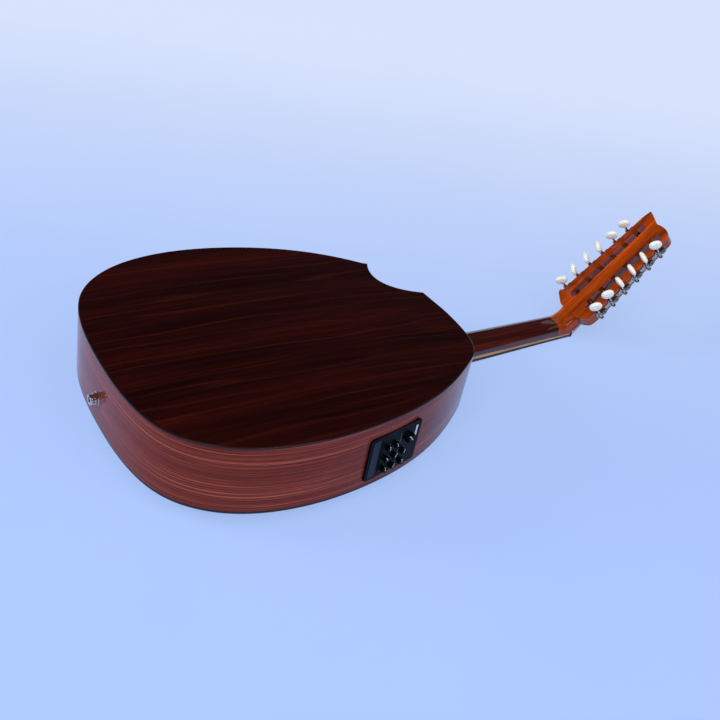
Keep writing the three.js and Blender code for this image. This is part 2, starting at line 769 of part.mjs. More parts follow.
function makeStrings({ tieX, tieZ }) {
  const perSide = tunersPerSide / 2
  for (let course = 0; course < tunersPerSide; course += 1) {
    const side = course < perSide ? -1 : 1
    const inward = course < perSide ? perSide - 1 - course : course - perSide
    const runs = [0, 1].map((string) => {
      const outerString = side < 0 ? 1 - string : string
      const roller = inward * 2 + outerString
      const gap = slotInner + (slotOuter - slotInner) * (0.36 + 0.075 * roller)
      const tangent = rollerHeight - rollerRadius - running - stringRadius
      const atRoller = new THREE.Vector3(rollerPlace(roller), side * gap, tangent).applyMatrix4(headToInstrument)
      const atNut = new THREE.Vector3(nutLine.x, spread(nutSpread, course, string), nutLine.z)
      const atSaddle = new THREE.Vector3(saddleX, spread(saddleSpread, course, string), saddleLine)
      const atTie = new THREE.Vector3(tieX, spread(saddleSpread, course, string), tieZ)
      return [atRoller, atNut, atSaddle, atTie]
    })
    const path = [...runs[0], ...runs[1].reverse()]
    piece(instrument, `string_course_${course + 1}`, wire(path, stringRadius, 6), colours.brass, 0.3, 1)
  }
}

const panelGroup = new THREE.Group()
panelGroup.applyMatrix4(panelMatrix)
instrument.add(panelGroup)

function panelPoint(alongShare, upShare) {
  return [(alongShare - 0.5) * panelLength, (upShare - 0.5) * panelHeight]
}

function makePreamp() {
  const corner = panelHeight * 0.07
  const [halfLength, halfHeight] = [panelLength / 2, panelHeight / 2]
  const face = new THREE.Shape()
  face.absarc(halfLength - corner, halfHeight - corner, corner, 0, Math.PI / 2)
  face.absarc(-halfLength + corner, halfHeight - corner, corner, Math.PI / 2, Math.PI)
  face.absarc(-halfLength + corner, -halfHeight + corner, corner, Math.PI, Math.PI * 1.5)
  face.absarc(halfLength - corner, -halfHeight + corner, corner, Math.PI * 1.5, Math.PI * 2)
  const bezel = new THREE.ExtrudeGeometry(face, { depth: panelThickness, bevelEnabled: false, curveSegments: 4 })
  bezel.rotateX(Math.PI / 2)
  bezel.translate(0, panelThickness, 0)
  const bodySpace = solid(moved(prism(inset(outline, -seat), -overrun, tall), panelInverse))
  let housing = solid(bezel).subtract(bodySpace).add(solid(housingBox))
  const bay = box(
    [trayCentre - trayWidth / 2 - running, -overrun, -trayHeight / 2 - running],
    [trayCentre + trayWidth / 2 + running, trayDepth + running, trayHeight / 2 + running]
  )
  housing = housing.subtract(solid(bay))

  const besideDrawer = (trayCentre + trayWidth / 2 + running * 2 + knobRadius) / panelLength + 0.5
  const columns = [besideDrawer, ...knobColumnShares]
  const places = knobRowShares.flatMap((up) => columns.map((along) => [along, up]))
  const small = places.slice(0, -1)
  const knobs = small.map(([along, up], count) => {
    return { name: `preamp_knob_${count + 1}`, place: panelPoint(along, up), radius: knobRadius, height: knobHeight }
  })
  knobs.push({ name: 'volume_knob', place: panelPoint(...volumeShares), radius: volumeRadius, height: volumeHeight })
  for (const { name, place, radius, height } of knobs) {
    const hole = bar(stemRadius + running, -overrun, stemLength + running, 10).rotateX(-Math.PI / 2)
    housing = housing.subtract(solid(hole.translate(place[0], 0, place[1])))
    const body = turned([
      [0, -stemLength],
      [stemRadius, -stemLength],
      [stemRadius, knobLift],
      [radius, knobLift],
      [radius * 0.9, height],
      [0, height]
    ], 10)
    const knob = piece(panelGroup, name, solid(body), colours.plastic, 0.4)
    knob.position.set(place[0], 0, place[1])
    knob.rotation.x = Math.PI / 2
  }
  piece(panelGroup, 'preamp_housing', housing, colours.plastic, 0.5)

  const tray = solid(box([-trayWidth / 2, 0, -trayHeight / 2], [trayWidth / 2, trayDepth, trayHeight / 2]))
    .subtract(solid(box(
      [-trayWidth / 2 + trayWall, trayDoor, -batteryHeight / 2 - running],
      [trayWidth, trayDoor + batteryDepth + running * 2, batteryHeight / 2 + running]
    )))
  piece(panelGroup, 'battery_tray', tray, colours.plastic, 0.6).position.set(trayCentre, 0, 0)
  const cell = box(
    [-trayWidth / 2 + trayWall + running, trayDoor + running, -batteryHeight / 2],
    [-trayWidth / 2 + trayWall + running + batteryWidth, trayDoor + running + batteryDepth, batteryHeight / 2]
  )
  piece(panelGroup, 'battery', cell, colours.battery, 0.4).position.set(trayCentre, 0, 0)
}

function makeJack() {
  const jack = turned([
    [0, jackInside],
    [jackBarrelRadius, jackInside],
    [jackBarrelRadius, -seat],
    [jackFlangeRadius, -seat],
    [jackFlangeRadius, -jackFlange],
    [jackBarrelRadius * 0.86, -jackFlange * 1.4],
    [jackBarrelRadius * 0.86, -jackProud * 0.8],
    [jackBarrelRadius, -jackProud * 0.9],
    [jackBarrelRadius * 0.9, -jackProud],
    [jackBore, -jackProud],
    [jackBore, jackBoreDepth - jackProud],
    [0, jackBoreDepth - jackProud]
  ].reverse(), 16)
  const mesh = piece(instrument, 'output_jack', solid(jack), colours.chrome, 0.2, 1)
  mesh.position.set(0, 0, jackHeight)
  mesh.rotation.y = Math.PI / 2
}

makeBody()
makeNeck()
makeHead()
makeMachines()
makeStrings(makeBridge())
makePreamp()
makeJack()

// Laid face down on the strings, with the middle of its footprint under the middle of its box.
const oud = new THREE.Group()
oud.add(instrument)
instrument.rotation.y = Math.atan(stringSlope)
instrument.position.z = stringRadius + saddleX * Math.sin(instrument.rotation.y) - saddleLine * Math.cos(instrument.rotation.y)
const span = new THREE.Box3().setFromObject(oud, true)
instrument.position.x = -(span.min.x + span.max.x) / 2
instrument.position.y = -(span.min.y + span.max.y) / 2
oud.updateMatrixWorld(true)

export default oud
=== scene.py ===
"""Looks of a flat-backed electric oud that lies face down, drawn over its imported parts, as an add-on."""

import math

import bmesh
import bpy
from mathutils import Matrix, Vector
from mathutils.geometry import tessellate_polygon


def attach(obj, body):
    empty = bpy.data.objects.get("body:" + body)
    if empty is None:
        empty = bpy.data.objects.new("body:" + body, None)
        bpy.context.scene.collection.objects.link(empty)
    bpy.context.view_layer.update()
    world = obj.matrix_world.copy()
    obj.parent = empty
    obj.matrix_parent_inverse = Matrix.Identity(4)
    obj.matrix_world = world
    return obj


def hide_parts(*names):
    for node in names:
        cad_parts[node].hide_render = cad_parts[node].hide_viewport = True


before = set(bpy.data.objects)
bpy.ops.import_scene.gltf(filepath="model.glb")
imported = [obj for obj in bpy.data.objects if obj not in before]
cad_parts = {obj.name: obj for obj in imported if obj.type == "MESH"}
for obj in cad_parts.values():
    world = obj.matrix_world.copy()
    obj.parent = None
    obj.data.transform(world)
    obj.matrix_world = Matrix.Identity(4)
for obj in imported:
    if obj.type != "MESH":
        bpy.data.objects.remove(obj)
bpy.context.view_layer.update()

bl_info = {
    "name": "Electric oud",
    "version": (1, 0, 0),
    "blender": (4, 5, 0),
    "location": "View3D > Sidebar > Oud",
    "description": "Builds the woodwork, machines, preamp and finishes of an electric oud",
    "category": "Object",
}

MM = 0.001

# Sizes in mm, as in the instrument's construction. In its own frame x runs from the tail to the neck, +y is
# the cutaway side, z is zero on the soundboard's face and +z points at the back. Angles are in degrees.
BODY_LENGTH = 440
BODY_HALF_WIDTH = 190
TAIL_DEPTH = 81.7
NECK_DEPTH = 72.6
BACK_CROWN = 7.9
SOUNDBOARD = 2.6
SIDE_WALL = 2.2
BACK_PLATE = 2.5
BINDING_WIDTH = 2.0
BINDING_HEIGHT = 2.7
SOUNDHOLE_RADIUS = 43
SOUNDHOLE_CENTRE = 296
# The gaps left at pieces that sit on each other and at pieces that move past each other.
SEAT = 0.25
RUNNING = 0.3

# The neck, with its fingerboard, the pale strip between them and the curved handle that carries the head.
NECK_LENGTH = 233
NECK_PITCH = 1.4
NECK_TENON = 1.8
NECK_THICKNESS = 22
NECK_HALF_WIDTH = 24
NUT_HALF_WIDTH = 17.6
NECK_ROUND_SHARE = 0.85
FINGERBOARD = 3
FINGERBOARD_DROP = 5
STRIP_AT_BODY = 5
STRIP_AT_NUT = 2.5
GLUE_LINE = 0.1
SPLICE = 205
HANDLE_GAP = 0.5
THROAT_HALF_WIDTH = 18.1
THROAT_SHARE = 1.02

# The head and its two slots.
HEAD_TILT = 44
HEAD_RISE = 8.3
HEAD_LENGTH = 197
HEAD_MIDDLE = 98.5
HEAD_HALF_WIDTH = 30
HEAD_THICKNESS = 18.8
HEAD_TAPER = 0.042
SLOT_START = 33
SLOT_END = 175
SLOT_INNER = 9
SLOT_OUTER = 20.4

# The tuning machines. Places are along the head, and heights are off its string side.
TUNERS = 6
FIRST_ROLLER = 46.6
TUNER_SPACING = 23.3
ROLLER_RADIUS = 3.2
ROLLER_WAIST = 2.85
ROLLER_HEIGHT = 9
ROLLER_END = 4.6
GEAR_CENTRE = 3.65
GEAR_RADIUS = 4.9
GEAR_ROOT = 3.9
GEAR_WIDTH = 3.2
GEAR_TEETH = 14
WORM_OFFSET = 7.01
WORM_LENGTH = 6.2
THREAD_FLOOR = 1.3
THREAD_DEPTH = 0.55
SHAFT_RADIUS = 1.2
BUTTON_MIDDLE = 32.3
EAR_THICKNESS = 1.6
EAR_WIDTH = 5.2
EAR_REACH = 5.4
PLATE_THICKNESS = 1.2
PLATE_HALF_WIDTH = 6.5
PLATE_WAIST_DEPTH = 3.2
PLATE_LOBE = 2.8
PLATE_BLEND = 3
PLATE_BEFORE_WORM = 5.1
PLATE_PAST_ROLLER = 5.9
PLATE_END_ROUNDING = 2.5
PLATE_SCREW_OFFSET = 7.2
PLATE_FACE = SEAT + PLATE_THICKNESS
EAR_HEIGHTS = (ROLLER_HEIGHT - GEAR_RADIUS - EAR_THICKNESS, ROLLER_HEIGHT + GEAR_RADIUS)
STRING_RADIUS = 0.45
WINDING_TURNS = 3.5
WINDING_OFFSET = 1.1

# The preamp's panel, its knobs with the ticks round them, and the output jack.
PANEL_CENTRE_Z = 38.7
PANEL_REACH = 20
HOUSING_LENGTH = 70
HOUSING_HEIGHT = 53
KNOB_LIFT = 0.5
STEM_RADIUS = 1.6
STEM_LENGTH = 5
KNOB_TRAVEL = 300
KNOB_START = 240
TICKS = 7
TICK_GAP = 0.35
TICK_LENGTH = 0.7
TICK_HALF_WIDTH = 0.12
TICK_LEVELS = (-0.2, 0.08)
BLOCK_SINK = 0.3
JACK_HEIGHT = 34.2
JACK_RADIUS = 6
JACK_BORE = 3.25
JACK_BORE_DEPTH = 18
JACK_INSIDE = 34
JACK_NUT_RADIUS = 7.2
JACK_NUT_PLACES = (-4.1, -1.0)

# Trim that only the looks have.
BACK_SPACING = 8
BOARD_CORNER = 1
ROSETTE_GAP = 4
ROUND_STEPS = 96

# Places and half widths of the body's outline as shares of its length and half width.
OUTLINE_SHARES = (0, 0, 0.07, 0.27, 0.5, 0.74, 0.92, 1, 1)
BASS_SHARES = (0, 0.477, 0.832, 1.013, 1, 0.853, 0.569, 0.415, 0)
TREBLE_SHARES = (0, 0.477, 0.832, 1.013, 1, 0.869, 0.617, 0.415, 0)
KNOT_SHARES = (0, 0, 0, 0, 1 / 6, 2 / 6, 3 / 6, 4 / 6, 5 / 6, 1, 1, 1, 1)
CUTAWAY_SHARES = ((0.9073, 0.629), (0.864, 0.463), (0.873, 0.295), (0.993, 0.218))
HORN_CUT_SHARE = 0.988
OUTLINE_STEPS = 128
CUTAWAY_STEPS = 24

# The head's outline seen from behind, as places along it and across it in mm. A true value marks a corner.
HEAD_EDGE = (
    (14, -18.1, True), (16.9, -24.1, False), (20.3, -29.4, False), (25.8, -32, False), (33.1, -32.75, True),
    (171, -26.96, True), (177, -26.9, False), (182.6, -24, False), (185.9, -18.3, False),
    (187.3, -11.6, False), (187.4, -5, False), (186.4, 1, True), (189.7, 8, False), (193.7, 16, False),
    (196.9, 24.1, True), (185, 26.4, False), (171, 26.96, True), (33.1, 32.75, True), (31, 35.4, False),
    (27.6, 34.7, False), (22.7, 28.3, False), (18.9, 22.7, False), (16, 18.1, True),
)
# The handle from the neck to the head: a place as a share of its length, a height as a share of the neck's
# thickness, and the power that rounds its section.
HANDLE_SHARES = (
    (0, 1, 0.85), (0.28, 1.015, 0.85), (0.5, 1.07, 0.82), (0.75, 1.25, 0.75), (1, 1.53, 0.6),
    (1.3, 1.93, 0.45), (1.5, 2.2, 0.45),
)
# The cuts through which the strings enter the slots: places along the head and heights off its string side.
WIDE_RAMP = ((9.9, 0), (9.9, -HEAD_LENGTH), (39.6, -HEAD_LENGTH), (39.6, 6.2))
NARROW_RAMP = ((7.9, 0), (7.9, -HEAD_LENGTH), (44.2, -HEAD_LENGTH), (44.2, 3.57), (23.1, 3.57))
# The first course's place across its slot, as a share of the slot's width, and the step to the next.
COURSE_SHARE = 0.36
COURSE_STEP_SHARE = 0.075

# Radius and height of the steps of turned pieces: the end of a roller and the shoulder at its gear, the
# gear's hub, a key's cap under the lower ear, its collar over the upper ear, and the ferrule at its button.
ROLLER_TIP = (
    (0, 0), (ROLLER_RADIUS - 0.4, 0), (ROLLER_RADIUS, 0.4), (ROLLER_RADIUS, 2.2), (ROLLER_WAIST, 2.8),
)
ROLLER_SHOULDER = ((ROLLER_WAIST, -6.5), (ROLLER_RADIUS, -6))
GEAR_HUB = ((0, 1.5), (2.3, 1.5), (2.3, 1.9), (0, 1.9))
KEY_CAP = ((0, -1.6), (1.4, -1.6), (1.7, -1.3), (1.7, 0))
KEY_COLLAR = ((1.8, 0), (1.8, 1.2), (1.35, 1.7))
KEY_FERRULE = ((1.3, -2.6), (1.75, -2.1), (2.3, -0.6), (2.5, 0.9), (2.1, 1.6), (0, 1.6))
JACK_WASHER = ((4, 0.2), (7.5, 0.2), (7.5, -0.7), (7.1, -1.1), (4, -1.1))
JACK_NOSE = (
    (JACK_RADIUS, -5.4), (5.4, -5.8), (5.4, -6.4), (JACK_RADIUS, -6.8), (JACK_RADIUS, -8.4), (5.6, -9.1),
    (4.2, -9.2), (JACK_BORE, -8.6),
)
# A gear's tooth: at each step a share of the pitch and a radius.
TOOTH = (
    (0, GEAR_ROOT), (0.16, GEAR_ROOT + 0.1), (0.34, GEAR_RADIUS - 0.15), (0.45, GEAR_RADIUS),
    (0.55, GEAR_RADIUS), (0.66, GEAR_RADIUS - 0.15), (0.84, GEAR_ROOT + 0.1),
)
# Radius and height of the screws of the gears and of the plates, and how deep they are sunk.
GEAR_SCREW = (1.5, 0.65)
PLATE_SCREW = (1.35, 0.6)
SCREW_SINK = 0.3
# Each of a plate's screws was left turned this much further than the one before, in radians.
PLATE_SCREW_TURN = 0.7

# The angle at which each button was left, from the nut to the tip.
BUTTON_ANGLES = {"bass": (-32, -28, 78, 74, 70, -34), "treble": (-32, 52, 56, 50, -44, -38)}
# Places of the knobs on the panel, along it and up it from its centre, and the angle of each one's pointer.
KNOB_COLUMNS = (-11.132, 0.912, 14.44)
KNOB_ROWS = (-20.075, -6.05, 8.25)
VOLUME_PLACE = (21.66, 8.8)
POINTER_ANGLES = (100, 70, 95, 120, 60, 85, 90, 110, 130)
# Radius, height and number of flutes of the knobs.
SMALL_KNOB = (3.9, 4.6, 12)
VOLUME_KNOB = (6.4, 5.6, 18)
# Flat blocks on the panel's face: left, right, low, high, and how far each stands proud.
DRAWER_STRIP = (-35, -24.5, -24.5, 24.5, 0.6)
DRAWER_PULL = (-20.5, -18.7, -20, 20, 0.7)
BARE_LABEL = (30.4, 33, 4.5, 21, 0.15)
SCALE_LINE = (7.5, 7.9, -25, 20, 0.08)

# The floor's rings as shares of its radius. It rises beyond the share that is named next.
FLOOR_SHARES = (0.001, 0.15, 0.3, 0.45, 0.6, 0.7, 0.8, 0.87, 0.94, 1)
RISE_SHARE = 0.6
# Each lamp's name, place, width, depth and power, in metres and watts. Wide lamps give soft even light, and
# the lacquer doesn't mirror them. The two narrow ones give it thin highlights.
LAMPS = (
    ("overhead", (-0.5, -0.7, 2.3), 2.6, 2.6, 29),
    ("front_left", (-2.3, -1.6, 1.6), 2.2, 2.2, 35),
    ("front_right", (0.9, -2.6, 1.4), 2.2, 2.2, 22),
    ("back_left", (-2.5, 1.4, 1.3), 1.4, 1.4, 44),
    ("strip_left", (-2.0, -1.2, 2.1), 1.6, 0.35, 8),
    ("strip_right", (0.3, -2.1, 1.75), 1.6, 0.35, 9),
)
# The depth from which a lamp is a wide one, and the point at which every lamp is aimed.
WIDE_LAMP = 1
LAMP_TARGET = (0, 0, 0.05)
WORLD_COLOUR = "#8f9bb5"
WORLD_STRENGTH = 0.1
# The camera, fitted to the photograph's perspective: its place in the instrument's frame in mm, its angles in
# radians, its focal length in pixels of a picture of this width, and its sensor's width in mm.
CAMERA_PLACE = (-279.9, -776.2, 668.5)
CAMERA_YAW = 0.66416
CAMERA_PITCH = 0.58410
CAMERA_ROLL = 0.21505
FOCAL_PIXELS = 966.14
PICTURE_PIXELS = 720
SENSOR = 36
CLIP_END = 60

# The instrument's own frames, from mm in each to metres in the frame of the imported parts. It rests on its
# strings at a place in metres and leans by an angle. The panel sits on the side at a place and an angle.
REST_PLACE = (-0.4033502, -0.0000212, 0.0208708)
REST_LEAN = 1.67001
PANEL_PLACE = (255.3392, -180.672, PANEL_CENTRE_Z)
PANEL_TURN = 13.02677


def turn_about(axis, degrees):
    """A turn about an axis of a frame."""
    return Matrix.Rotation(math.radians(degrees), 4, axis)


INSTRUMENT = Matrix.Translation(REST_PLACE) @ turn_about("Y", REST_LEAN) @ Matrix.Scale(MM, 4)
NECK = INSTRUMENT @ Matrix.Translation((BODY_LENGTH, 0, -FINGERBOARD_DROP)) @ turn_about("Y", -NECK_PITCH)
HEAD = NECK @ Matrix.Translation((NECK_LENGTH, 0, HEAD_RISE)) @ turn_about("Y", -HEAD_TILT)
PANEL = INSTRUMENT @ Matrix.Translation(PANEL_PLACE) @ turn_about("Z", PANEL_TURN)
SIDES = {"bass": -1, "treble": 1}
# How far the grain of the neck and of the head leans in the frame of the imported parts.
NECK_GRAIN = math.radians(-0.27)
HEAD_GRAIN = math.radians(43.73)


def side_frame(side):
    """A side face of the head: x along the face, y out of the treble face, z off the string side."""
    turn = Matrix.Rotation(-side * math.atan(HEAD_TAPER), 4, "Z")
    return HEAD @ Matrix.Translation((HEAD_MIDDLE, side * HEAD_HALF_WIDTH, 0)) @ turn


def roller_place(count):
    """A roller's place along the head from its middle."""
    return FIRST_ROLLER + TUNER_SPACING * count - HEAD_MIDDLE


# Sizes and colours that a user would change


def linear(code):
    """An sRGB hex colour as linear values."""
    parts = [int(code[place:place + 2], 16) / 255 for place in (1, 3, 5)]
    return [part / 12.92 if part <= 0.04045 else ((part + 0.055) / 1.055) ** 2.4 for part in parts]


def colour_property(name, description, code):
    return bpy.props.FloatVectorProperty(
        name=name, description=description, subtype="COLOR", size=3, min=0, max=1, default=linear(code)
    )


def length_property(name, description, millimetres):
    return bpy.props.FloatProperty(
        name=name, description=description, subtype="DISTANCE", unit="LENGTH", min=0, default=millimetres * MM
    )


class OudSizes(bpy.types.PropertyGroup):
    """Sizes of the trim and the small parts."""

    edge_radius: length_property("Edge radius", "Rounding of the back's dark edging", 1.1)
    board_edging: length_property("Board edging", "Width of the edging round the soundboard", 1.8)
    board_edging_height: length_property("Board edging height", "Height of that edging up the sides", 3.8)
    rosette_width: length_property("Rosette width", "Width of the inlaid ring round the soundhole", 9)
    wood_rounding: length_property("Wood rounding", "Rounding of the head's edges", 0.7)
    metal_rounding: length_property("Metal rounding", "Rounding of the plates' edges", 0.15)
    plastic_rounding: length_property("Plastic rounding", "Rounding of the preamp's edges", 0.35)
    button_length: length_property("Button length", "Length of a tuner's button", 17.4)
    button_height: length_property("Button height", "Height of a tuner's button along its shaft", 15.4)
    button_thickness: length_property("Button thickness", "Thickness of a tuner's button", 7.2)
    floor_size: length_property("Floor size", "Width of the floor under the instrument", 16000)
    backdrop_height: length_property("Backdrop height", "Height of the floor's curved rim", 1600)


class OudColours(bpy.types.PropertyGroup):
    """Colours of the woods, the buttons and the floor."""

    back: colour_property("Back", "Ground colour of the back's rosewood", "#250603")
    back_streak: colour_property("Back streak", "Palest streak of the back's rosewood", "#471609")
    side: colour_property("Sides", "Middle colour of the sides' rosewood", "#762e22")
    side_streak: colour_property("Side streak", "Palest streak of the sides' rosewood", "#a85b45")
    neck: colour_property("Neck", "Colour of the neck", "#3e110a")
    strip: colour_property("Strip", "Colour of the strip under the neck", "#b98a5c")
    head: colour_property("Head", "Middle colour of the head", "#9a3a07")
    board: colour_property("Soundboard", "Colour of the spruce", "#d9ac72")
    button: colour_property("Buttons", "Colour of the pearl buttons", "#fbf6ea")
    floor: colour_property("Floor", "Colour of the floor and backdrop", "#acc8ff")


def sizes():
    return bpy.context.scene.oud_sizes


def colours():
    return bpy.context.scene.oud_colours


def in_mm(name):
    return getattr(sizes(), name) / MM


# Finishes


def add(tree, kind, settings=(), inputs=(), stops=()):
    """Adds a node with its settings, its inputs as values or as sockets to link, and a ramp's colours."""
    node = tree.nodes.new(kind)
    for key, value in dict(settings).items():
        setattr(node, key, value)
    for key, value in dict(inputs).items():
        if isinstance(value, bpy.types.NodeSocket):
            tree.links.new(value, node.inputs[key])
        else:
            node.inputs[key].default_value = value
    for place, (position, colour) in enumerate(stops):
        elements = node.color_ramp.elements
        element = elements[place] if place < len(elements) else elements.new(position)
        element.position = position
        element.color = [*colour[:3], 1]
    return node


def start(name, values):
    """A new material's nodes and its shader, on whose own sockets the plain values are set."""
    material = bpy.data.materials.new(name)
    material.use_nodes = True
    tree = material.node_tree
    shader = tree.nodes["Principled BSDF"]
    for key, value in values.items():
        shader.inputs[key].default_value = value
    return tree, shader


def shade(colour, amount):
    return [part * amount for part in colour[:3]]


def wood(name, values, ground, line, streak, length, sway, spacing, amount, pores,
         ring=(0, 0.3, 1), turn=None, zones=0.45):
    """A wood with lengthwise streaks and growth lines. streak, length and sway are a streak's width, length
    and sideways drift in mm. spacing, amount and ring are the growth lines' distance in mm, strength and
    direction. zones is the share of the broad light and dark zones. Pieces made here carry their grain as an
    attribute, and the others take it from their place, turned about y."""
    # How much of their distance the growth lines take up, and a pore's size in mm.
    width, pore_length, pore_width = 0.3, 14, 0.7
    tree, shader = start(name, values)
    if turn is None:
        grain = add(tree, "ShaderNodeAttribute", {"attribute_name": "grain"}).outputs["Vector"]
    else:
        place = add(tree, "ShaderNodeTexCoord").outputs["Object"]
        grain = add(tree, "ShaderNodeMapping", inputs={
            "Vector": place, "Rotation": (0, turn, 0), "Scale": (1 / MM, 1 / MM, 1 / MM)
        }).outputs[0]

    def streaks(source, along, across, detail, roughness=0.5):
        stretched = add(tree, "ShaderNodeMapping", inputs={
            "Vector": source, "Scale": (1 / along, 1 / across, 1 / across)
        }).outputs[0]
        return add(tree, "ShaderNodeTexNoise", inputs={
            "Vector": stretched, "Scale": 1, "Detail": detail, "Roughness": roughness
        }).outputs[0]

    drift = add(tree, "ShaderNodeMath", {"operation": "MULTIPLY_ADD"}, {
        0: streaks(grain, length * 0.9, streak * 16, 2), 1: sway, 2: -sway / 2
    }).outputs[0]
    offset = add(tree, "ShaderNodeCombineXYZ", inputs={"Y": drift, "Z": drift}).outputs[0]
    shifted = add(tree, "ShaderNodeVectorMath", {"operation": "ADD"}, {0: grain, 1: offset}).outputs[0]
    fine = streaks(shifted, length, streak, 4, 0.6)
    wide = streaks(shifted, length * 1.6, streak * 7, 2)
    blend = add(tree, "ShaderNodeMix", {"data_type": "FLOAT"}, {0: zones, 2: fine, 3: wide}).outputs[0]
    ramp = add(tree, "ShaderNodeValToRGB", inputs={"Fac": blend}, stops=ground).outputs[0]
    across = add(tree, "ShaderNodeVectorMath", {"operation": "DOT_PRODUCT"}, {
        0: shifted, 1: [part / spacing for part in ring]
    }).outputs["Value"]
    uneven = add(tree, "ShaderNodeMath", {"operation": "MULTIPLY_ADD"}, {
        0: streaks(shifted, length * 1.5, spacing * 2.2, 2), 1: 3.2, 2: across
    }).outputs[0]
    wave = add(tree, "ShaderNodeMath", {"operation": "PINGPONG"}, {0: uneven, 1: 0.5}).outputs[0]
    growth = add(tree, "ShaderNodeMapRange", {"interpolation_type": "SMOOTHSTEP"}, {
        "Value": wave, "From Min": 0.5 - width / 2, "From Max": 0.5, "To Min": 0, "To Max": 1
    }).outputs[0]
    strength = add(tree, "ShaderNodeMapRange", inputs={
        "Value": streaks(grain, length * 0.6, spacing, 2), "From Min": 0.38, "From Max": 0.6,
        "To Min": 0, "To Max": amount
    }).outputs[0]
    growth = add(tree, "ShaderNodeMath", {"operation": "MULTIPLY"}, {0: growth, 1: strength}).outputs[0]
    line_colour = [*line[:3], 1]
    mixed = add(tree, "ShaderNodeMix", {"data_type": "RGBA"}, {0: growth, 6: ramp, 7: line_colour}).outputs[2]
    pore = add(tree, "ShaderNodeMapRange", inputs={
        "Value": streaks(shifted, pore_length, pore_width, 2), "From Min": 0.44, "From Max": 0.34,
        "To Min": 0, "To Max": pores
    }).outputs[0]
    darkest = [*shade(ground[0][1], 0.6), 1]
    mixed = add(tree, "ShaderNodeMix", {"data_type": "RGBA"}, {0: pore, 6: mixed, 7: darkest}).outputs[2]
    tree.links.new(mixed, shader.inputs["Base Color"])
    height = add(tree, "ShaderNodeMath", {"operation": "SUBTRACT"}, {0: fine, 1: pore}).outputs[0]
    bump = add(tree, "ShaderNodeBump", inputs={"Strength": 0.12, "Distance": 0.02 * MM, "Height": height})
    tree.links.new(bump.outputs[0], shader.inputs["Normal"])


def speckled(name, values, colour, other, grain_mm, roughness=None, bump_mm=0.0,
             contrast=(0.35, 0.7), squash=(1, 1, 1)):
    """A fine-grained surface: two close colours mixed by a noise of a real grain size, with its bump."""
    tree, shader = start(name, values)
    place = add(tree, "ShaderNodeTexCoord").outputs["Object"]
    scaled = add(tree, "ShaderNodeMapping", inputs={
        "Vector": place, "Scale": [part / (grain_mm * MM) for part in squash]
    }).outputs[0]
    noise = add(tree, "ShaderNodeTexNoise", inputs={
        "Vector": scaled, "Scale": 1, "Detail": 3, "Roughness": 0.55
    }).outputs[0]
    ramp = add(tree, "ShaderNodeValToRGB", inputs={"Fac": noise},
               stops=((contrast[0], colour), (contrast[1], other))).outputs[0]
    tree.links.new(ramp, shader.inputs["Base Color"])
    if roughness:
        rough = add(tree, "ShaderNodeMapRange", inputs={
            "Value": noise, "From Min": 0.3, "From Max": 0.7, "To Min": roughness[0], "To Max": roughness[1]
        }).outputs[0]
        tree.links.new(rough, shader.inputs["Roughness"])
    if bump_mm:
        bump = add(tree, "ShaderNodeBump", inputs={
            "Strength": 0.6, "Distance": bump_mm * MM, "Height": noise
        }).outputs[0]
        tree.links.new(bump, shader.inputs["Normal"])


def lacquered(roughness, specular):
    return {"Roughness": roughness, "Specular IOR Level": specular}


def metal(roughness):
    return {"Metallic": 1, "Roughness": roughness}


def coated(roughness, coat, coat_roughness):
    return {"Roughness": roughness, "Coat Weight": coat, "Coat Roughness": coat_roughness}


def shades(colour, *steps):
    """Stops of a ramp, each from its place and how much of a colour it has."""
    return [(place, colour if amount == 1 else shade(colour, amount)) for place, amount in steps]


def hexes(*steps):
    """Stops of a ramp, each from its place and its sRGB hex colour."""
    return [(place, linear(code)) for place, code in steps]


def make_finishes():
    woods(colours())
    edges_and_buttons(colours())
    metals()
    plastics()
    rosette_finish()
    floor_finish()


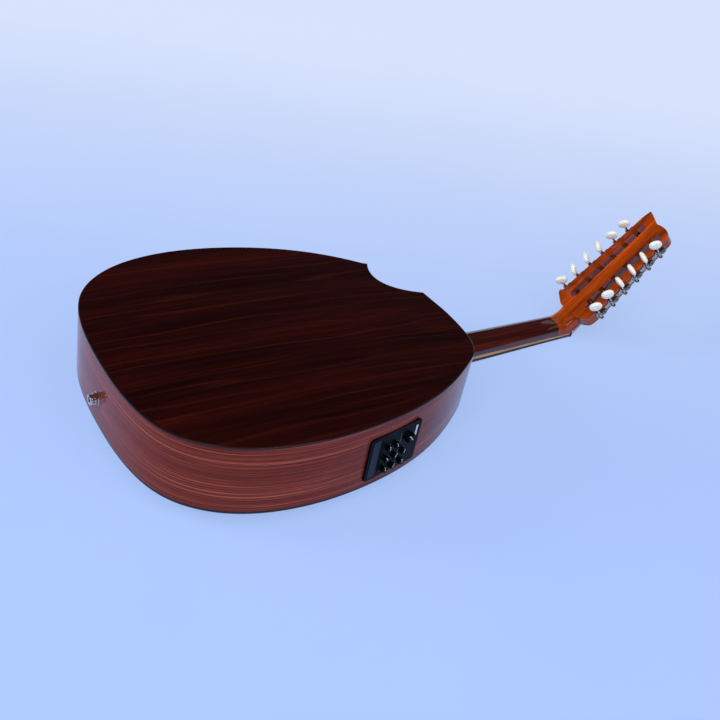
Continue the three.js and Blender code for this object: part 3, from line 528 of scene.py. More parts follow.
def woods(c):
    # Dark rosewood under gloss lacquer: nearly black red-brown, with thin wandering lines a little paler.
    wood("lacquered_dark_rosewood", lacquered(0.1, 0.22),
         shades(c.back, (0.38, 0.45), (0.52, 1), (0.68, 2.1)), c.back_streak, streak=5, length=330, sway=22,
         spacing=17, amount=0.45, pores=0.25, ring=(0, 1, 0.3), zones=0.6)
    # Straight-grained rosewood, bent and gloss lacquered: red-brown with fine parallel lines, dark and pale.
    wood("lacquered_striped_rosewood", lacquered(0.14, 0.13),
         [*shades(c.side, (0.36, 0.45), (0.46, 0.8), (0.54, 1)), (0.66, c.side_streak)], shade(c.side, 0.3),
         streak=1.1, length=420, sway=4, spacing=3.1, amount=0.9, pores=0.25, zones=0.2)
    # Rosewood neck, carved, stained dark and gloss lacquered.
    wood("lacquered_neck_rosewood", lacquered(0.1, 0.9), shades(c.neck, (0.38, 0.4), (0.5, 1), (0.64, 2.2)),
         shade(c.neck, 0.3), streak=1.6, length=160, sway=3, spacing=5, amount=0.5, pores=0.3)
    # Pale hardwood strip, planed and gloss lacquered.
    wood("lacquered_pale_strip", lacquered(0.16, 0.5), shades(c.strip, (0.38, 0.6), (0.5, 1), (0.64, 1.25)),
         shade(c.strip, 0.4), streak=0.8, length=90, sway=1.5, spacing=3, amount=0.4, pores=0.2,
         turn=NECK_GRAIN)
    # Orange-brown cedar head, sawn, carved and varnished: warm streaks along the head.
    wood("varnished_cedar", lacquered(0.13, 0.45),
         shades(c.head, (0.38, 0.45), (0.47, 0.85), (0.54, 1), (0.64, 1.8)), shade(c.head, 0.3),
         streak=2.2, length=90, sway=6, spacing=7, amount=0.5, pores=0.25, ring=(0, 1, 0.35), turn=HEAD_GRAIN)
    # Quarter-sawn spruce, scraped and lacquered: pale, with close even lines.
    wood("lacquered_spruce", lacquered(0.18, 0.5), shades(c.board, (0.4, 0.8), (0.5, 1), (0.62, 1.12)),
         shade(c.board, 0.55), streak=1.3, length=400, sway=1.5, spacing=1.7, amount=0.7, pores=0.1,
         ring=(0, 1, 0))
    # Unfinished spruce of the bars and linings: dry and matt, with close even lines.
    wood("bare_spruce", {"Roughness": 0.75}, hexes((0.38, "#a8835a"), (0.5, "#c9a478"), (0.64, "#dcbf95")),
         linear("#8a6440"), streak=1.2, length=200, sway=1, spacing=1.7, amount=0.6, pores=0.15,
         ring=(0, 1, 0), turn=0)
    # Unfinished mahogany of the end blocks: matt, with short dark pores.
    wood("bare_mahogany", {"Roughness": 0.75}, hexes((0.38, "#7d5233"), (0.5, "#9c6d47"), (0.64, "#b4855d")),
         linear("#5d3820"), streak=1.5, length=60, sway=2, spacing=5, amount=0.4, pores=0.3, turn=math.pi / 2)
    # Ebony, planed and oiled: black with a faint brown figure and a satin shine.
    wood("oiled_ebony", lacquered(0.3, 0.4), hexes((0.38, "#060505"), (0.52, "#0f0c0b"), (0.68, "#241a15")),
         linear("#050404"), streak=0.9, length=60, sway=1, spacing=3, amount=0.4, pores=0.3, turn=NECK_GRAIN)
    # Edging of dark stained rosewood under the body's gloss lacquer: a thin bright line where it rounds.
    wood("lacquered_dark_edging", lacquered(0.12, 0.3),
         hexes((0.38, "#140807"), (0.52, "#26110f"), (0.68, "#3c1e1a")), linear("#0e0505"),
         streak=0.8, length=80, sway=1, spacing=3, amount=0.3, pores=0.2)


def edges_and_buttons(c):
    # Bone, sawn and polished: cream with faint pores.
    speckled("polished_bone", coated(0.3, 0.3, 0.1), linear("#e3d8bd"), linear("#f1e9d6"), 0.8, bump_mm=0.01)
    # Pearloid, moulded and polished: warm white with soft drifting clouds.
    speckled("moulded_pearloid", {**coated(0.22, 0.6, 0.05), "Subsurface Weight": 0.08},
             shade(c.button, 0.86), c.button, 3.5, contrast=(0.3, 0.6))


def metals():
    # Nickel plate over stamped and turned brass: bright, slightly warm and softly scratched.
    speckled("nickel_plate", metal(0.28), linear("#c8c4bc"), linear("#e2dfd8"), 0.7,
             roughness=(0.2, 0.36), bump_mm=0.004)
    # Nickel plate on the machines' plates, drawn darker and browner than the other plating: a painted
    # reflection of the orange head round it.
    speckled("dulled_nickel_plate", metal(0.4), linear("#b9b0a5"), linear("#dcd4c9"), 0.7,
             roughness=(0.3, 0.44), bump_mm=0.006)
    # Steel, turned on a lathe: greyer and rougher than the plating.
    speckled("turned_steel", metal(0.3), linear("#75767a"), linear("#a5a6aa"), 0.35,
             roughness=(0.24, 0.42), bump_mm=0.006)
    # Brass, cut and dully plated: a faint yellow under grey.
    speckled("cut_brass", metal(0.32), linear("#877d68"), linear("#b5aa90"), 0.4,
             roughness=(0.25, 0.45), bump_mm=0.006)
    # Bronze wound on steel: ridges across the string. The real wire is 0.15 mm and is drawn at 0.5 mm.
    speckled("wound_bronze", metal(0.3), linear("#7d5a2e"), linear("#d0a564"), 0.5,
             roughness=(0.25, 0.4), bump_mm=0.05, contrast=(0.4, 0.6), squash=(1, 0.02, 0.02))


def plastics():
    # ABS, moulded black with a fine spark-eroded texture: nearly matt, on the preamp's face and knobs.
    speckled("moulded_black_abs", lacquered(0.34, 0.045), linear("#030406"), linear("#080b11"), 0.35,
             roughness=(0.28, 0.4), bump_mm=0.012)
    # ABS, polished on the drawer's front: smoother than the face. Its dark blue is a painted reflection of
    # the pale blue floor on the black plastic.
    speckled("polished_black_abs", lacquered(0.2, 0.1), linear("#0a1422"), linear("#142338"), 4,
             roughness=(0.16, 0.26))
    # White print on the knobs, and the bare white label.
    speckled("white_print", {"Roughness": 0.4}, linear("#b9c0c6"), linear("#d5dade"), 0.5)
    # Grey print of the panel's scales, worn thinner than the label.
    speckled("grey_print", {"Roughness": 0.45}, linear("#5c6266"), linear("#7d8489"), 0.3)
    # Steel case of the battery, rolled and painted: dark blue with a soft shine.
    speckled("painted_case", coated(0.35, 0.4, 0.15), linear("#1e2b44"), linear("#2a3c5e"), 5,
             roughness=(0.3, 0.42))


def rosette_finish():
    """Marquetry ring: small dark and pale blocks laid round the hole between two plain bands."""
    block_length, block_width = 2.2, 1.5
    ring_middle, ring_half = in_mm("rosette_width") / 2, 3.0
    tree, shader = start("inlaid_marquetry", lacquered(0.18, 0.5))
    grain = add(tree, "ShaderNodeAttribute", {"attribute_name": "grain"}).outputs["Vector"]
    parts = add(tree, "ShaderNodeSeparateXYZ", inputs={0: grain})
    cells = []
    for socket, size in ((parts.outputs["X"], block_length), (parts.outputs["Y"], block_width)):
        share = add(tree, "ShaderNodeMath", {"operation": "DIVIDE"}, {0: socket, 1: size}).outputs[0]
        cells.append(add(tree, "ShaderNodeMath", {"operation": "FLOOR"}, {0: share}).outputs[0])
    total = add(tree, "ShaderNodeMath", {"operation": "ADD"}, {0: cells[0], 1: cells[1]}).outputs[0]
    odd = add(tree, "ShaderNodeMath", {"operation": "PINGPONG"}, {0: total, 1: 1}).outputs[0]
    middle = add(tree, "ShaderNodeMath", {"operation": "COMPARE"}, {
        0: parts.outputs["Y"], 1: ring_middle, 2: ring_half
    }).outputs[0]
    factor = add(tree, "ShaderNodeMath", {"operation": "MULTIPLY"}, {0: odd, 1: middle}).outputs[0]
    noise = add(tree, "ShaderNodeTexNoise", inputs={"Vector": grain, "Scale": 0.8, "Detail": 3}).outputs[0]
    dark, pale = [
        add(tree, "ShaderNodeValToRGB", inputs={"Fac": noise}, stops=stops).outputs[0]
        for stops in (
            hexes((0.35, "#1a0c08"), (0.65, "#3a1a10")), hexes((0.35, "#b98e5c"), (0.65, "#e0c28f"))
        )
    ]
    mixed = add(tree, "ShaderNodeMix", {"data_type": "RGBA"}, {0: factor, 6: dark, 7: pale}).outputs[2]
    tree.links.new(mixed, shader.inputs["Base Color"])


def floor_finish():
    """Painted board. Seen directly or in a reflection it glows a little, so it stays pale."""
    # It is painted paler towards its far end, painted light in place of the lamps' light that falls off
    # there: where along the slope that starts and ends, and by how much.
    slope, near, far = (0.21, 0.37, 0), -0.12, 0.6
    paler, mottling, glow_near, glow_far = 0.48, 0.12, 0.7, 0.97
    tree, shader = start("painted_floor", {"Roughness": 0.8, "Specular IOR Level": 0.0})
    ground = colours().floor
    place = add(tree, "ShaderNodeTexCoord").outputs["Object"]
    along = add(tree, "ShaderNodeVectorMath", {"operation": "DOT_PRODUCT"}, {
        0: place, 1: slope
    }).outputs["Value"]
    distance = add(tree, "ShaderNodeMapRange", {"interpolation_type": "SMOOTHSTEP"}, {
        "Value": along, "From Min": near, "From Max": far
    }).outputs[0]
    noise = add(tree, "ShaderNodeTexNoise", inputs={"Vector": place, "Scale": 3.5, "Detail": 2}).outputs[0]
    tone = add(tree, "ShaderNodeMath", {"operation": "MULTIPLY_ADD"}, {
        0: noise, 1: mottling, 2: distance
    }).outputs[0]
    shown = add(tree, "ShaderNodeValToRGB", inputs={"Fac": tone},
                stops=((0, ground), (1, [part + (1 - part) * paler for part in ground]))).outputs[0]
    tree.links.new(shown, shader.inputs["Base Color"])
    glow = add(tree, "ShaderNodeEmission", inputs={"Color": shown, "Strength": 1})
    path = add(tree, "ShaderNodeLightPath")
    seen = path.outputs["Is Camera Ray"]
    for ray in ("Is Glossy Ray", "Is Transmission Ray"):
        seen = add(tree, "ShaderNodeMath", {"operation": "MAXIMUM"}, {
            0: seen, 1: path.outputs[ray]
        }).outputs[0]
    # The glow also grows towards the far end: more painted light there, so the far floor is as bright as the
    # near one.
    spread = add(tree, "ShaderNodeMapRange", inputs={
        "Value": distance, "From Min": 0, "From Max": 1, "To Min": glow_near, "To Max": glow_far
    }).outputs[0]
    share = add(tree, "ShaderNodeMath", {"operation": "MULTIPLY"}, {0: seen, 1: spread}).outputs[0]
    both = add(tree, "ShaderNodeMixShader", inputs={0: share, 1: shader.outputs[0], 2: glow.outputs[0]})
    tree.links.new(both.outputs[0], tree.nodes["Material Output"].inputs["Surface"])


# Meshes


def mesh_piece(name, points, faces, matrix, finish, grain=None, sharp=35):
    """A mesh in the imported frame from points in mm, smooth up to an angle, with its grain in mm."""
    mesh = bpy.data.meshes.new(name)
    mesh.from_pydata([matrix @ Vector(point) for point in points], [], [tuple(face) for face in faces])
    work = bmesh.new()
    work.from_mesh(mesh)
    bmesh.ops.recalc_face_normals(work, faces=work.faces)
    work.to_mesh(mesh)
    work.free()
    values = grain if grain else points
    attribute = mesh.attributes.new("grain", "FLOAT_VECTOR", "POINT")
    for place, value in enumerate(values):
        attribute.data[place].vector = value
    return dressed(name, mesh, finish, sharp)


def dressed(name, mesh, finish, sharp):
    mesh.shade_smooth()
    mesh.set_sharp_from_angle(angle=math.radians(sharp))
    mesh.materials.append(bpy.data.materials[finish])
    piece = bpy.data.objects.new(name, mesh)
    bpy.context.scene.collection.objects.link(piece)
    return piece


def carried(piece, body, slot, *nodes):
    """The piece rides on a body and stands for the nodes, which it hides. Its slot is not used."""
    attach(piece, body)
    if nodes:
        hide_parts(*nodes)
    return piece


def rounded(piece, millimetres, segments=2, angle=35):
    """Rounds the hard edges of a piece."""
    bevel = piece.modifiers.new("rounding", "BEVEL")
    bevel.width = millimetres * MM
    bevel.segments = segments
    bevel.limit_method = "ANGLE"
    bevel.angle_limit = math.radians(angle)
    bevel.harden_normals = True
    return piece


def made(name, part, matrix, finish, body, slot, *nodes, grain=None, sharp=35, rounding=()):
    """A piece of points and faces on its body. rounding is a width in mm, then segments and an angle."""
    piece = mesh_piece(name, *part, matrix, finish, grain, sharp)
    return carried(rounded(piece, *rounding) if rounding else piece, body, slot, *nodes)


def cleaned(mesh, flat):
    """Joins a mesh's shared corners and its faces that lie within an angle in degrees of each other."""
    work = bmesh.new()
    work.from_mesh(mesh)
    bmesh.ops.remove_doubles(work, verts=work.verts, dist=0.002 * MM)
    bmesh.ops.dissolve_limit(work, angle_limit=math.radians(flat), verts=work.verts, edges=work.edges)
    bmesh.ops.recalc_face_normals(work, faces=work.faces)
    work.to_mesh(mesh)
    work.free()
    return mesh


def softened(name, node, finish, millimetres, segments=2, angle=35):
    """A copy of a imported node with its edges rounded, for a shape that is right but has bare corners."""
    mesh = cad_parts[node].data.copy()
    mesh.materials.clear()
    if "custom_normal" in mesh.attributes:
        mesh.attributes.remove(mesh.attributes["custom_normal"])
    return rounded(dressed(name, cleaned(mesh, 1), finish, angle), millimetres, segments, angle)


def carved(piece, cutters, angle=35):
    """Cuts the shapes of other pieces out of a piece."""
    for cutter in cutters:
        cut = piece.modifiers.new("cut", "BOOLEAN")
        cut.operation = "DIFFERENCE"
        cut.solver = "EXACT"
        cut.object = cutter
    graph = bpy.context.evaluated_depsgraph_get()
    mesh = bpy.data.meshes.new_from_object(piece.evaluated_get(graph))
    piece.modifiers.clear()
    piece.data = cleaned(mesh, 0.05)
    mesh.shade_smooth()
    mesh.set_sharp_from_angle(angle=math.radians(angle))
    return piece


def smooth_line(points, corners, steps, closed=True):
    """A line through points that is smooth except at its corners and straight between two of them."""
    points = [Vector(point) for point in points]
    count = len(points)
    line = []
    for place in range(count if closed else count - 1):
        here, there = points[place], points[(place + 1) % count]
        if corners[place] and corners[(place + 1) % count]:
            line.append(here)
            continue
        chord = (there - here).length

        def slope(at):
            before, after = points[at - 1], points[(at + 1) % count]
            if corners[at] or (not closed and at in (0, count - 1)):
                return (there - here) / chord
            return (after - before) / ((after - points[at]).length + (points[at] - before).length)

        first, last = slope(place) * chord, slope((place + 1) % count) * chord
        for step in range(steps):
            t = step / steps
            line.append(
                here * (2 * t ** 3 - 3 * t * t + 1) + first * (t ** 3 - 2 * t * t + t)
                + there * (3 * t * t - 2 * t ** 3) + last * (t ** 3 - t * t)
            )
    return line if closed else line + [points[-1]]


def loft(rings, joined=False, capped=True):
    """Points and faces of a skin through closed rings of equally many points, joined end to end or capped."""
    count = len(rings[0])
    points = [point for ring in rings for point in ring]
    faces = []
    last = len(rings) if joined else len(rings) - 1
    for ring in range(last):
        here, there = ring * count, (ring + 1) % len(rings) * count
        for place in range(count):
            after = (place + 1) % count
            faces.append((here + place, here + after, there + after, there + place))
    if capped and not joined:
        faces.append(tuple(range(count))[::-1])
        faces.append(tuple((len(rings) - 1) * count + place for place in range(count)))
    return points, faces


def circle(radius, height, steps, centre=0):
    """Points of a level circle round z."""
    turns = [2 * math.pi * k / steps for k in range(steps)]
    return [(centre + radius * math.cos(turn), radius * math.sin(turn), height) for turn in turns]


def turned(profile, steps=32):
    """Points and faces of a turned piece round z, from its radius and height at each step of its profile."""
    return loft([circle(max(radius, 0.01), height, steps) for radius, height in profile])


def lifted(profile, height):
    """The steps of a profile, moved up."""
    return [(radius, height + level) for radius, level in profile]


def gathered(*parts):
    """Several sets of points and faces as one."""
    points, faces = [], []
    for some_points, some_faces in parts:
        start_at = len(points)
        points += some_points
        faces += [tuple(start_at + corner for corner in face) for face in some_faces]
    return points, faces


def shell(outer, inner, faces):
    """A closed shell from a sheet of faces and the same sheet on its other side."""
    count = len(outer)
    edges = {(a, b) for face in faces for a, b in zip(face, face[1:] + face[:1])}
    rim = [(a, b) for a, b in edges if (b, a) not in edges]
    sides = [(b, a, a + count, b + count) for a, b in sorted(rim)]
    back = [tuple(corner_point + count for corner_point in reversed(face)) for face in faces]
    return outer + inner, faces + back + sides


def moved(part, matrix):
    points, faces = part
    return [tuple(matrix @ Vector(point)) for point in points], faces


# The body's outline


def spline(controls, share):
    """A point of the outline's cubic spline."""
    span = max(k for k in range(3, len(controls)) if KNOT_SHARES[k] <= share)
    points = [Vector(controls[span - 3 + k]) for k in range(4)]
    for level in range(1, 4):
        for k in range(3, level - 1, -1):
            low, high = KNOT_SHARES[span - 3 + k], KNOT_SHARES[span + 1 + k - level]
            points[k] = points[k - 1].lerp(points[k], (share - low) / (high - low))
    return points[3]


def body_outline():
    def controls(shares, sign):
        return [(x * BODY_LENGTH, sign * y * BODY_HALF_WIDTH) for x, y in zip(OUTLINE_SHARES, shares)]

    steps = [k / OUTLINE_STEPS for k in range(OUTLINE_STEPS + 1)]
    bass = [spline(controls(BASS_SHARES, -1), share) for share in steps]
    ends = [Vector((x * BODY_LENGTH, y * BODY_HALF_WIDTH)) for x, y in CUTAWAY_SHARES]
    treble = [spline(controls(TREBLE_SHARES, 1), share) for share in steps[1:-1]]
    treble = [point for point in treble if point.x < ends[0].x * HORN_CUT_SHARE]
    cutaway = []
    for step in range(CUTAWAY_STEPS + 1):
        t = step / CUTAWAY_STEPS
        weights = ((1 - t) ** 3, 3 * t * (1 - t) ** 2, 3 * t * t * (1 - t), t ** 3)
        cutaway.append(sum((end * weight for end, weight in zip(ends, weights)), Vector((0, 0))))
    return bass + cutaway[::-1] + treble[::-1]


def inset(points, distance):
    """The outline moved inwards."""
    moved_points = []
    count = len(points)
    for place, point in enumerate(points):
        first = (point - points[place - 1]).normalized()
        second = (points[(place + 1) % count] - point).normalized()
        normal = Vector((-first.y - second.y, first.x + second.x)).normalized()
        lean = max(normal.dot(Vector((-first.y, first.x))), 0.35)
        moved_points.append(point + normal * (distance / lean))
    return moved_points


def back_height(along):
    share = along / BODY_LENGTH
    return TAIL_DEPTH + (NECK_DEPTH - TAIL_DEPTH) * share + 4 * BACK_CROWN * share * (1 - share)


def arc_places(points):
    """The length along a closed outline at each of its points, from the tail round either side."""
    places = [0.0]
    for before, point in zip(points, points[1:]):
        places.append(places[-1] + (point - before).length)
    whole = places[-1] + (points[0] - points[-1]).length
    return [min(place, whole - place) for place in places]


def edging(name, profile, height_at, finish):
    """A strip along the whole outline. Its profile is a list of inset and drop from a height."""
    points = body_outline()
    rings = []
    columns = [(inset(points, distance), drop) for distance, drop in profile]
    for place in range(len(points)):
        ring = []
        for column, drop in columns:
            point = column[place]
            ring.append((point.x, point.y, height_at(point.x) - drop))
        rings.append(ring)
    arcs = arc_places(points)
    grain = [(arcs[ring], distance, drop) for ring in range(len(points)) for distance, drop in profile]
    return mesh_piece(name, *loft(rings, joined=True), INSTRUMENT, finish, grain)


def corner(radius, steps=6):
    """Inset and drop along a rounded outer corner, from the wall to the top."""
    turns = [math.pi / 2 * k / steps for k in range(steps + 1)]
    return [(radius * (1 - math.cos(turn)), radius * (1 - math.sin(turn))) for turn in turns]


def sheet(points, spacing):
    """Points and faces of a flat sheet with this outline, cut across evenly so that it can be arched."""
    work = bmesh.new()
    work.faces.new([work.verts.new((point.x, point.y, 0)) for point in points])
    for step in range(1, int(BODY_LENGTH / spacing)):
        everything = work.verts[:] + work.edges[:] + work.faces[:]
        bmesh.ops.bisect_plane(work, geom=everything, plane_co=(step * spacing, 0, 0), plane_no=(1, 0, 0))
    bmesh.ops.triangulate(work, faces=work.faces)
    work.verts.index_update()
    flat = [Vector(vertex.co) for vertex in work.verts]
    faces = [tuple(vertex.index for vertex in face.verts) for face in work.faces]
    work.free()
    return flat, faces


# Pieces


def drawn_over(node, name, finish, rounding, body, slot, segments=2):
    """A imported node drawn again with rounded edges, for a shape that is right but has bare corners."""
    return carried(softened(name, node, finish, rounding, segments), body, slot, node)


def make_back():
    profile = [
        (0, BINDING_HEIGHT), *corner(in_mm("edge_radius")), (BINDING_WIDTH, 0),
        (BINDING_WIDTH, BINDING_HEIGHT)
    ]
    border = edging("back_edging", profile, back_height, "lacquered_dark_edging")
    carried(border, "instrument", "ebony", "back_binding")
    flat, faces = sheet(inset(body_outline(), BINDING_WIDTH), BACK_SPACING)
    outer = [(point.x, point.y, back_height(point.x)) for point in flat]
    inner = [(x, y, height - BACK_PLATE) for x, y, height in outer]
    made("arched_back", shell(outer, inner, faces), INSTRUMENT, "lacquered_dark_rosewood",
         "instrument", "rosewood", "back_plate")


def along_panel(point):
    """A point's place along the preamp's panel, or infinity where the outline is on another side."""
    place = (INSTRUMENT.inverted() @ PANEL).inverted() @ Vector((point.x, point.y, PANEL_CENTRE_Z))
    return place.x if abs(place.y) < PANEL_REACH else math.inf


def make_sides():
    points = body_outline()
    limit = HOUSING_LENGTH / 2 + RUNNING
    stations = []
    for place, point in enumerate(points):
        stations.append(point)
        after = points[(place + 1) % len(points)]
        here, there = along_panel(point), along_panel(after)
        for edge in (-limit, limit):
            if math.isfinite(here) and math.isfinite(there) and here < edge < there:
                stations.append(point.lerp(after, (edge - here) / (there - here)))
    low = PANEL_CENTRE_Z - HOUSING_HEIGHT / 2 - RUNNING
    high = PANEL_CENTRE_Z + HOUSING_HEIGHT / 2 + RUNNING
    arcs = arc_places(stations)
    outer, inner, grain = [], [], []
    for place, (point, within) in enumerate(zip(stations, inset(stations, SIDE_WALL))):
        for row in (in_mm("board_edging_height"), low, high, back_height(point.x) - BINDING_HEIGHT):
            outer.append((point.x, point.y, row))
            inner.append((within.x, within.y, row))
            grain.append((arcs[place], 0, row))
    faces = []
    for place, point in enumerate(stations):
        after = (place + 1) % len(stations)
        middle = along_panel(point.lerp(stations[after], 0.5))
        for row in range(3):
            # The middle row is left open for the preamp.
            if row == 1 and abs(middle) < limit:
                continue
            here, there = place * 4 + row, after * 4 + row
            faces.append((here, there, there + 1, here + 1))
    made("bent_sides", shell(outer, inner, faces), INSTRUMENT, "lacquered_striped_rosewood",
         "instrument", "side_rosewood", "sides", grain=grain * 2)


def board_level(along):
    """The height of the soundboard's face, which is level."""
    return 0.0


def make_soundboard():
    width, height = in_mm("board_edging"), in_mm("board_edging_height")
    rounded_edge = [(distance, -drop) for distance, drop in corner(BOARD_CORNER)]
    profile = [(0, -height), *rounded_edge, (width, 0), (width, -height)]
    border = edging("soundboard_edging", profile, board_level, "lacquered_dark_edging")
    carried(border, "instrument", "ebony")
    rim = [Vector((point.x, point.y, 0)) for point in inset(body_outline(), width)]
    hole = [Vector(point) for point in circle(SOUNDHOLE_RADIUS, 0, ROUND_STEPS, SOUNDHOLE_CENTRE)]
    faces = [tuple(face) for face in tessellate_polygon([rim, hole])]
    outer = [tuple(point) for point in rim + hole]
    inner = [(x, y, SOUNDBOARD) for x, y, z in outer]
    made("spruce_soundboard", shell(outer, inner, faces), INSTRUMENT, "lacquered_spruce",
         "instrument", "spruce", "soundboard", rounding=(0.5, 2, 60))
    make_rosette()


def make_rosette():
    start_radius = SOUNDHOLE_RADIUS + ROSETTE_GAP
    width = in_mm("rosette_width")
    # It is let into the board and stands just proud of it, with a small bevel on both edges.
    sunk, edge, proud, bevel = 0.4, -0.1, -0.2, 0.3
    section = ((0, sunk), (0, edge), (bevel, proud), (width - bevel, proud), (width, edge), (width, sunk))
    rings, grain = [], []
    for k in range(ROUND_STEPS):
        turn = 2 * math.pi * k / ROUND_STEPS
        ring = []
        for out, height in section:
            reach = start_radius + out
            ring.append((SOUNDHOLE_CENTRE + reach * math.cos(turn), reach * math.sin(turn), height))
            # The ring is laid in two halves that mirror each other.
            grain.append((min(turn, 2 * math.pi - turn) * start_radius, out, 0))
        rings.append(ring)
    made("rosette", loft(rings, joined=True), INSTRUMENT, "inlaid_marquetry",
         "instrument", "spruce", grain=grain)


def half_width_at(along):
    return NECK_HALF_WIDTH + (NUT_HALF_WIDTH - NECK_HALF_WIDTH) * along / NECK_LENGTH


def strip_top(along):
    """Height of the strip's face under the neck, with the fingerboard's seat."""
    return FINGERBOARD + SEAT + STRIP_AT_BODY + (STRIP_AT_NUT - STRIP_AT_BODY) * along / NECK_LENGTH


def signed_power(value, power):
    """A sine or cosine raised to a power with its sign kept."""
    return math.copysign(abs(value) ** power, value) if abs(value) > 1e-9 else 0.0


def neck_section(along, low, high, half_width, power=NECK_ROUND_SHARE, steps=36):
    ring = []
    for step in range(steps + 1):
        turn = math.pi * step / steps
        out = half_width * signed_power(math.cos(turn), power)
        ring.append((along, out, low + (high - low) * abs(math.sin(turn)) ** power))
    return ring


def make_neck():
    steps = 12
    rings = []
    for step in range(steps + 1):
        along = -NECK_TENON + (SPLICE + NECK_TENON) * step / steps
        rings.append(neck_section(along, strip_top(along) + GLUE_LINE, NECK_THICKNESS, half_width_at(along)))
    made("neck_shaft", loft(rings), NECK, "lacquered_neck_rosewood",
         "instrument", "rosewood", "neck", rounding=(0.25, 2, 50))
    drawn_over("neck_strip", "pale_strip", "lacquered_pale_strip", 0.2, "instrument", "pale_wood")
    drawn_over("fingerboard", "ebony_fingerboard", "oiled_ebony", 0.35, "instrument", "ebony")
    drawn_over("nut", "ebony_nut", "oiled_ebony", 0.4, "instrument", "ebony")


def crosswise(outline, low, high):
    """A prism across the head from its outline along the head and off its string side."""
    return loft([[(along, out, height) for along, height in outline] for out in (low, high)])


def slot_loop(side):
    """The outline of one slot, with round ends."""
    radius = (SLOT_OUTER - SLOT_INNER) / 2
    middle = side * (SLOT_INNER + SLOT_OUTER) / 2
    loop = []
    for centre, turn_from in ((SLOT_END - radius, -90), (SLOT_START + radius, 90)):
        for step in range(13):
            turn = math.radians(turn_from + 15 * step)
            loop.append(Vector((centre + radius * math.cos(turn), middle + radius * math.sin(turn), 0)))
    return loop


def head_blade():
    places = [(x, y, 0) for x, y, is_corner in HEAD_EDGE]
    edge = smooth_line(places, [is_corner for x, y, is_corner in HEAD_EDGE], 6)
    loops = [edge, *[slot_loop(side) for side in SIDES.values()]]
    faces = [tuple(face) for face in tessellate_polygon(loops)]
    low = [tuple(point) for loop in loops for point in loop]
    high = [(x, y, HEAD_THICKNESS) for x, y, z in low]
    return mesh_piece("carved_head", *shell(low, high, faces), HEAD, "varnished_cedar", sharp=40)


def head_handle():
    floor = strip_top(NECK_LENGTH) + HANDLE_GAP
    rings = []
    for share, height, power in smooth_line(HANDLE_SHARES, [False] * len(HANDLE_SHARES), 6, closed=False):
        along = SPLICE + share * (NECK_LENGTH - SPLICE)
        half_width = THROAT_HALF_WIDTH if share > THROAT_SHARE else half_width_at(along)
        rings.append(neck_section(along, floor, height * NECK_THICKNESS, half_width, power))
    return mesh_piece("carved_handle", *loft(rings), NECK, "varnished_cedar", sharp=40)


def make_head():
    blade = head_blade()
    handle = head_handle()

    def cutter(name, outline, low, high):
        return mesh_piece(name, *crosswise(outline, low, high), HEAD, "varnished_cedar")

    # The handle ends at the head's string side and just under its back.
    far, hair = HEAD_LENGTH, 0.01
    back = HEAD_THICKNESS - hair
    below = cutter("below", ((-far, 0), (-far, -far), (far, -far), (far, 0)), -far, far)
    behind = cutter("behind", ((hair, back), (far, back), (far, far), (hair, far)), -far, far)
    ramps = []
    for side in SIDES.values():
        for outline, near, out in (
            (WIDE_RAMP, SLOT_INNER, SLOT_OUTER), (NARROW_RAMP, SLOT_INNER / 3, SLOT_INNER + SEAT)
        ):
            ramps.append(cutter("ramp", outline, *sorted((side * near, side * out))))
    carved(blade, ramps)
    carved(handle, [below, behind, *ramps])
    for piece in (below, behind, *ramps):
        bpy.data.objects.remove(piece)
    carried(rounded(blade, in_mm("wood_rounding"), 3, 50), "instrument", "head_wood", "headstock")
    carried(rounded(handle, 0.3, 2, 50), "instrument", "head_wood")


def screw(radius, height, slot=0.22):
    """A domed screw head with a slot, standing on z zero: two half domes on a whole base."""
    floor = height * 0.45
    base = turned([(radius, -SCREW_SINK), (radius, floor)], 20)
    halves = []
    for side in (-1, 1):
        rings = []
        for share in (0, 0.35, 0.65, 0.85, 0.97):
            reach = radius * math.sqrt(1 - (share * 0.8) ** 2)
            first = math.asin(min(0.999, radius * slot / reach))
            row = []
            for k in range(9):
                turn = first + (math.pi - 2 * first) * k / 8
                level = floor + (height - floor) * share
                row.append((reach * math.cos(turn), side * reach * math.sin(turn), level))
            rings.append(row)
        halves.append(loft(rings))
    return gathered(base, *halves)


def gear():
    """A spur gear round z with rounded teeth and bevelled faces."""
    outline = []
    for tooth in range(GEAR_TEETH):
        for share, radius in TOOTH:
            turn = 2 * math.pi * (tooth + share) / GEAR_TEETH
            outline.append((radius * math.cos(turn), radius * math.sin(turn)))
    half, bevel, inner_share = GEAR_WIDTH / 2, 0.25, 0.93
    rings = []
    for height, scale in ((-half, inner_share), (-half + bevel, 1), (half - bevel, 1), (half, inner_share)):
        rings.append([(x * scale, y * scale, height) for x, y in outline])
    return loft(rings)


def coil(radius, wire, centre, turns, sides=8, steps_a_turn=24):
    """Turns of wire side by side round z."""
    rings = []
    steps = int(turns * steps_a_turn)
    for step in range(steps + 1):
        angle = 2 * math.pi * step / steps_a_turn
        height = centre + (step / steps - 0.5) * turns * wire * 2
        ring = []
        for k in range(sides):
            around = 2 * math.pi * k / sides
            reach = radius + wire * math.cos(around)
            ring.append((reach * math.cos(angle), reach * math.sin(angle), height + wire * math.sin(around)))
        rings.append(ring)
    return loft(rings)


